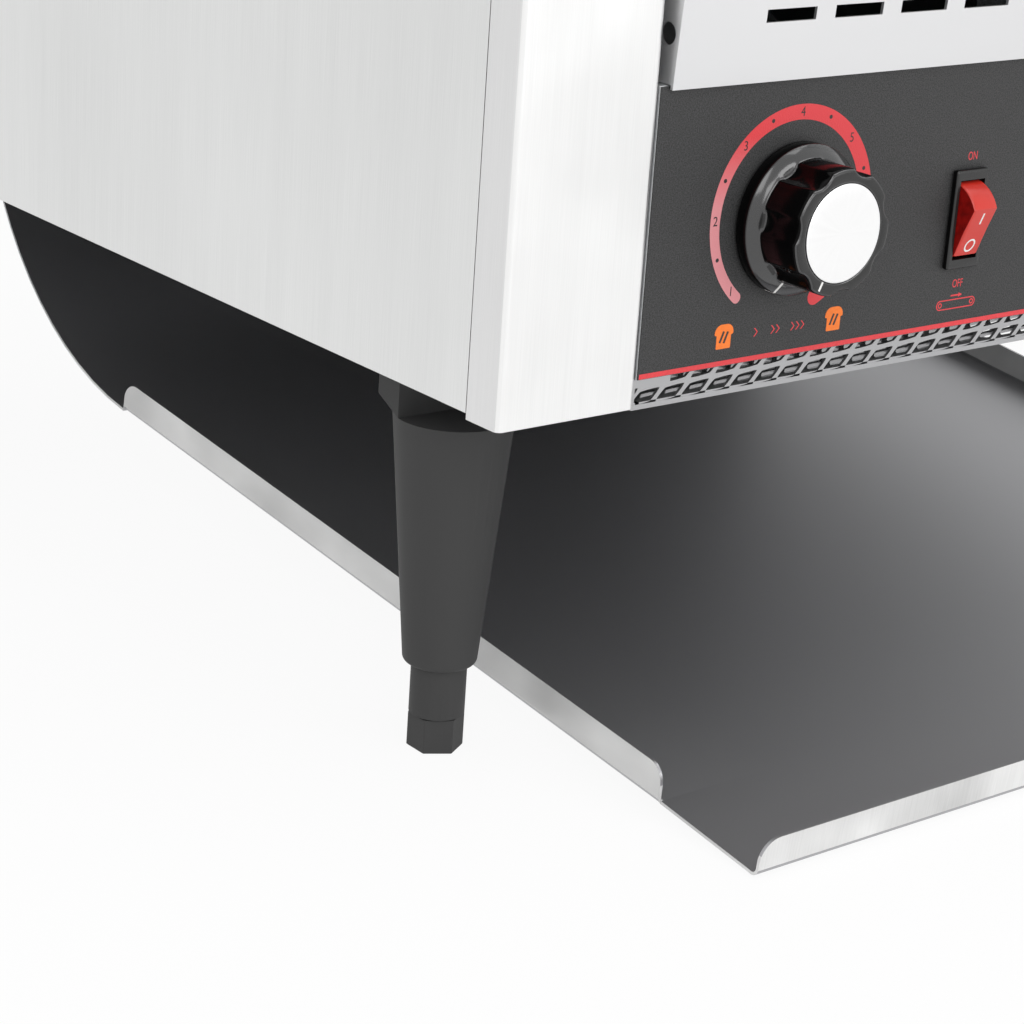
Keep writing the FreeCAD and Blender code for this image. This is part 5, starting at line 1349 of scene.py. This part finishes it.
    def build(self) -> None:
        """Make every print."""
        put = self.dresser.piece
        self.dresser.dress("panel_film", FILM_BLACK)
        half, (low, high) = self.line_half, self.line_z
        line = np.array([(-half, low), (half, low), (half, high), (-half, high)])
        put("print_line", plate(line, (0, 0), self.film - self.ink, self.film), "toaster", PRINT_RED,
            "film_print")
        ink = DialInk("dial_ink", (0.71, 0.27, 0.29), (0.73, 0.045, 0.055), self.knob)
        put("print_dial", self.dial(), "toaster", ink, "film_print")
        dark, red = [], []
        ring = np.linspace(0, 2 * math.pi, 20, endpoint=False)
        dot = np.stack([np.cos(ring), np.sin(ring)], -1) * self.dot
        for i in range(7):
            a = math.radians(self.first_digit - self.digit_step * i)
            reach = self.digit_reach[0] + self.digit_reach[1] * i
            x, z = self.on_dial(a, reach)
            dark.append(self.word(str(i + 1), x, z, *self.digit_size))
            if i < 6:
                at = self.on_dial(a - math.radians(self.digit_step / 2), reach)
                dark.append(plate(dot, at, self.film - 2 * self.ink, self.film))
        for side, x in self.slices:
            crust, cuts = self.slice_sign(x, self.slice_z)
            put("print_slice_" + side, crust, "toaster", PRINT_ORANGE, "film_print")
            dark.append(cuts)
        for x in self.switches:
            red += [self.word(text, x, z, *self.word_size) for text, z in self.word_z]
        red.append(self.belt_sign(*self.belt_at, self.belt_half))
        for x, top in zip(self.switches[1:], (True, False)):
            red.append(self.heat_sign(x, self.sign_z, top))
        red.append(self.speed_sign(*self.speed_at))
        put("print_dark_marks", joined(dark), "toaster", PRINT_DARK, "film_print")
        put("print_red_marks", joined(red), "toaster", PRINT_RED, "film_print")

    def heat_sign(self, x: float, z: float, top: bool) -> Shape:
        """Return the sign of one heater: a bar with three waves of warmth towards the slice.

        Args:
            x: Its middle.
            z: Its middle.
            top: Whether the bar is above the slice.

        Returns:
            The sign.
        """
        way = 1 if top else -1
        shapes = []
        for low, high, half in ((1.9, 2.5, 5.0), (-2.2, -1.7, 5.0)):
            bar = np.array([(-half, low), (half, low), (half, high), (-half, high)]) * (1, way)
            shapes.append(plate(bar, (x, z), self.film - self.ink, self.film))
        t = np.linspace(-1.0, 1.2, 13)
        for dx in (-2.6, 0.0, 2.6):
            wave = 0.35 * np.sin(t * math.pi * 1.3)
            left = np.stack([wave - 0.22 + dx, t * way], -1)
            right = np.stack([wave + 0.22 + dx, t * way], -1)
            shapes.append(plate(np.concatenate([left, right[::-1]]), (x, z), self.film - self.ink, self.film))
        return joined(shapes)


@dataclass(frozen=True)
class DialInk:
    """The dial's ink, pale at its slow end and full red from the middle on."""

    name: str
    pale: Colour
    full: Colour
    centre: tuple[float, float]

    def material(self) -> bpy.types.Material:
        """Return the material: the angle round the knob drives the mix of the two inks."""
        made, tree, shader = begun(self.name, self.full)
        place = node(tree, "TexCoord").outputs["Object"]
        mapping = node(tree, "Mapping", {"Vector": place,
                                         "Location": (-self.centre[0] * MM, 0, -self.centre[1] * MM)})
        parts = node(tree, "SeparateXYZ", {0: mapping.outputs[0]}).outputs
        fades = [node(tree, "MapRange", {"Value": parts[axis], "From Min": low, "From Max": high})
                 for axis, low, high in (("Z", 0.004, 0.024), ("X", -0.002, 0.006))]
        both = node(tree, "Math", {i: fade.outputs["Result"] for i, fade in enumerate(fades)},
                    operation="MAXIMUM")
        mottle = node(tree, "Group", {"Place": place, "Cloud Scale": 200.0, "Speck Scale": 2400.0},
                      node_tree=Effects.mottle())
        bump = node(tree, "Bump", {"Height": mottle.outputs["Speck"], "Strength": 0.25,
                                   "Distance": BUMP_HEIGHT})
        fill(tree, shader, {"Base Color": blend(tree, both.outputs[0], self.pale, self.full),
                            "Normal": bump.outputs["Normal"], "Roughness": 0.5})
        return made


@dataclass
class Legs:
    """Four tapered legs with their heads and screw feet, and the bolts that hold them."""

    dresser: Dresser
    corners: tuple[str, ...] = ("front_left", "front_right", "rear_left", "rear_right")

    def build(self) -> None:
        """Soften and dress legs, feet and bolts."""
        for corner in self.corners:
            self.dresser.softened(corner + "_leg", corner + "_leg_moulding", "toaster", LEG_BLACK,
                                  "leg_black", 0.5)
            self.dresser.softened(corner + "_foot", corner + "_screw_foot", corner + "_foot", LEG_BLACK,
                                  "leg_black", 0.35)
        self.dresser.dress("leg_bolts", BOLT_STEEL)


@dataclass
class Screws:
    """The shell's pan-head screws, each with a cross recess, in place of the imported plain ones."""

    dresser: Dresser
    radius: float = 3.4
    height: float = 1.9
    shank: float = 1.7
    length: float = 7.0
    side_x: float = 240.0
    side_y: tuple[float, float] = (-137.75, 198.95)
    top_z: float = 381.0
    rear_x: float = 233.0
    rear_y: float = 234.95
    rear_z: tuple[float, float] = (137.4, 359.0)
    top_pitch: float = 95.25
    gearbox: tuple[float, float, float] = (191.7, 48.122, 197.569)
    gearbox_half: float = 24.0

    def head(self, x: float, y: float, z: float, axis: Axis) -> Shape:
        """Return one head: height h (1 - q q) ** 0.35 over the radius, less the recess.

        The recess is deep where the lesser of |u| and |v| is small, so it is a cross.

        Args:
            x: The seat's place.
            y: The seat's place.
            z: The seat's place.
            axis: Where the head points.

        Returns:
            The closed head.
        """
        q = np.array([1.0, 1.0, 0.96, 0.85, 0.7, 0.58, 0.5, 0.42, 0.34, 0.26, 0.18, 0.1, 0.04])
        angle = np.linspace(0, 2 * math.pi, 40, endpoint=False)
        u, v = q[:, None] * np.cos(angle), q[:, None] * np.sin(angle)
        dome = self.height * np.clip(1 - q ** 2, 0.0, 1) ** 0.35
        dome[0], dome[1] = 0.0, 0.35
        arm = np.clip(1 - np.minimum(np.abs(u), np.abs(v)) / 0.13, 0, 1)
        reach = np.clip((0.56 - np.hypot(u, v)) / 0.08, 0, 1)
        lift = dome[:, None] - 1.1 * np.minimum(np.sqrt(arm), reach)
        a, b, w = axis.frame()
        rings = np.array((x, y, z)) + self.radius * (u[..., None] * a + v[..., None] * b)
        shank = turned([(self.shank, 0.1), (self.shank, -self.length)], (x, y, z), axis, 20)
        return joined([loft(rings + lift[..., None] * w), shank])

    def build(self) -> None:
        """Make all screws as one piece."""
        heads = []
        x, y, z = self.gearbox
        for side, axis in ((-1, Axis.LEFT), (1, Axis.RIGHT)):
            heads += [self.head(side * self.side_x, at, self.top_z, axis)
                      for at in np.linspace(*self.side_y, 3)]
            heads += [self.head(side * self.rear_x, self.rear_y, at, Axis.BACK)
                      for at in np.linspace(*self.rear_z, 3)]
            heads += [self.head(x, y + side * self.gearbox_half, z + rise * self.gearbox_half, Axis.RIGHT)
                      for rise in (-1, 1)]
        heads += [self.head(self.top_pitch * i, self.rear_y, self.top_z, Axis.BACK) for i in (-1, 0, 1)]
        self.dresser.piece("cross_head_screws", joined(heads), "toaster", BOLT_STEEL, "bolt_steel",
                           ("panel_screws",), 40.0)


@dataclass
class Works:
    """What lies inside: belt, rollers, drive, heaters and wiring."""

    dresser: Dresser
    tube_ys: tuple[float, ...] = (-73.05, -3.05, 66.95)
    heights: tuple[float, ...] = (269.5, 349.5)
    coil_radius: float = 2.0
    coil_pitch: float = 4.2
    coil_reach: float = 192.0
    wire: float = 0.35
    lead_lap: float = 3.0
    lead_end: float = 203.5
    lead_radius: float = 1.0

    def coils(self) -> Shape:
        """Wind six coils: y = r cos t, z = r sin t while x runs evenly, with straight leads to the caps."""
        turns = 2 * self.coil_reach / self.coil_pitch
        t = np.linspace(0, 2 * math.pi * turns, int(turns * 12))
        shapes = []
        for y in self.tube_ys:
            for z in self.heights:
                helix = np.stack([np.linspace(-self.coil_reach, self.coil_reach, len(t)),
                                  y + self.coil_radius * np.cos(t), z + self.coil_radius * np.sin(t)], -1)
                shapes.append(tube(helix, self.wire, (1, 0, 0), 5))
                for side in (-1, 1):
                    lead = np.array([(side * (self.coil_reach - self.lead_lap), y, z),
                                     (side * self.lead_end, y, z)])
                    shapes.append(tube(lead, self.lead_radius, (0, 0, 1)))
        return joined(shapes)

    def build(self) -> None:
        """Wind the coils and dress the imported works."""
        self.dresser.piece("wound_coils", self.coils(), "toaster", COIL_WIRE, "coil_wire", ("heating_coils",))
        finishes = {"conveyor_belt": WIRE_STEEL, "drive_rollers": ROLLER_STEEL, "idler_rollers": ROLLER_STEEL,
                    "drive_shaft": SHAFT_STEEL, "idler_shaft": SHAFT_STEEL, "motor_shaft": SHAFT_STEEL,
                    "shaft_bushes": BUSH_BRONZE, "driven_pulley": PULLEY_METAL, "motor_pulley": PULLEY_METAL,
                    "drive_belt": BELT_RUBBER, "gearbox": GEAR_CAST, "motor_can": MOTOR_BLACK,
                    "quartz_tubes": QUARTZ, "end_caps": CERAMIC, "reflectors": REFLECTOR_METAL,
                    "speed_board": BOARD_GREEN, "terminal_block": TERMINAL_WHITE, "wiring_loom": LOOM_BLACK}
        for node, finish in finishes.items():
            self.dresser.dress(node, finish)


@dataclass
class Studio:
    """White ground and backdrop, soft lamps, and the camera at the photograph's place."""

    lens: float = 97.244
    place: tuple[float, float, float] = (-0.692008, -0.743421, 0.355729)
    right: tuple[float, float, float] = (0.78614471, -0.61471202, 0.06407521)
    up: tuple[float, float, float] = (0.15960221, 0.3020766, 0.9398281)
    back: tuple[float, float, float] = (-0.59707925, -0.72861434, 0.33558532)
    fill: float = 0.62
    paper: float = 0.92
    aim: tuple[float, float, float] = (0.0, 0.0, 0.15)
    lamps: tuple[tuple[str, tuple[float, float, float], tuple[float, float], float], ...] = (
        ("key_lamp", (-1.6, -1.9, 2.0), (1.6, 1.6), 18.0),
        ("top_lamp", (0.6, -0.4, 2.4), (1.8, 1.8), 16.0),
        ("front_lamp", (0.5, -2.3, 0.8), (2.2, 0.7), 14.0))

    def camera(self) -> None:
        """Set the camera up."""
        lens = bpy.data.cameras.new("camera")
        lens.lens, lens.sensor_width = self.lens, 36.0
        lens.clip_start, lens.clip_end = 0.05, 30.0
        made = placed("camera", lens)
        made.matrix_world = facing((self.right, self.up, self.back), self.place)
        bpy.context.scene.camera = made

    def seen_white(self, tree: bpy.types.NodeTree) -> bpy.types.NodeSocket:
        """Return one where a ray from the camera, a gloss or a clear piece arrives, else zero.

        Args:
            tree: The node tree to add to.

        Returns:
            The factor's socket.
        """
        path = node(tree, "LightPath").outputs
        level = path["Is Camera Ray"]
        for label in ("Is Glossy Ray", "Is Transmission Ray"):
            level = node(tree, "Math", {0: level, 1: path[label]}, operation="MAXIMUM").outputs[0]
        return level

    def world(self) -> None:
        """Make the white surroundings, which light the object at a lower level than they show."""
        world = bpy.data.worlds.new("studio")
        bpy.context.scene.world = world
        world.use_nodes = True
        tree = world.node_tree
        seen = tree.nodes["Background"]
        fill(tree, seen, {"Color": WHITE, "Strength": 1.0})
        lit = node(tree, "Background", {"Color": WHITE, "Strength": self.fill})
        mix = node(tree, "MixShader", {"Fac": self.seen_white(tree), 1: lit.outputs[0], 2: seen.outputs[0]})
        fill(tree, tree.nodes["World Output"], {"Surface": mix.outputs[0]})

    def floor(self) -> None:
        """Lay the white ground, most of it its own white, so that only a faint shadow shows."""
        u = np.linspace(-4, 4, 5) / MM
        grid = np.zeros((5, 5, 3))
        grid[..., 0], grid[..., 1] = np.meshgrid(u, u)
        grid[..., 2] = -0.02
        shape = skin(grid, around=False)
        mesh = bpy.data.meshes.new("ground")
        mesh.from_pydata((shape.points * MM).tolist(), [], shape.faces[0].tolist())
        made = placed("ground", mesh)
        material, tree, shader = begun("ground_paper", (0.8, 0.8, 0.8))
        fill(tree, shader, {"Base Color": (0.9, 0.9, 0.9, 1), "Roughness": 0.9})
        white = node(tree, "Emission", {"Strength": 1.0})
        share = node(tree, "Math", {0: self.seen_white(tree), 1: self.paper}, operation="MULTIPLY")
        mix = node(tree, "MixShader", {"Fac": share.outputs[0], 1: shader.outputs[0], 2: white.outputs[0]})
        fill(tree, tree.nodes["Material Output"], {"Surface": mix.outputs[0]})
        mesh.materials.append(material)
        made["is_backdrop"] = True

    def lamp(self, name: str, place: Sequence[float], size: tuple[float, float], power: float) -> None:
        """Hang one soft lamp that faces the object's middle.

        Args:
            name: The lamp's name.
            place: Where it hangs, in metres.
            size: Its width and height, in metres.
            power: Its power in watts.
        """
        data = bpy.data.lights.new(name, "AREA")
        data.shape = "RECTANGLE"
        data.size, data.size_y, data.energy = *size, power
        w = np.array(place, float) - np.array(self.aim)
        w /= np.linalg.norm(w)
        u = np.cross((0, 0, 1), w)
        u /= np.linalg.norm(u)
        placed(name, data).matrix_world = facing((u, np.cross(w, u), w), place)

    def build(self) -> None:
        """Set the stage."""
        self.world()
        self.floor()
        for lamp in self.lamps:
            self.lamp(*lamp)
        self.camera()
        bpy.context.scene.view_settings.view_transform = "Standard"


def corners() -> list[list[float]]:
    """Return the shown object's lowest and highest corner as plain lists."""
    low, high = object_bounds()
    return [list(low), list(high)]


def main() -> None:
    """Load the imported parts, dress them, and set the stage."""
    logging.basicConfig(level=logging.INFO, format="%(message)s")
    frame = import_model()
    dresser = Dresser(frame["nodes"])
    for builder in (Body(dresser), Tray(dresser), Guard(dresser), Knob(dresser), Rockers(dresser),
                    Prints(dresser), Legs(dresser), Screws(dresser), Works(dresser)):
        builder.build()
        LOG.info("%s done", type(builder).__name__)
    Studio().build()


if __name__ == "__main__":
    main()
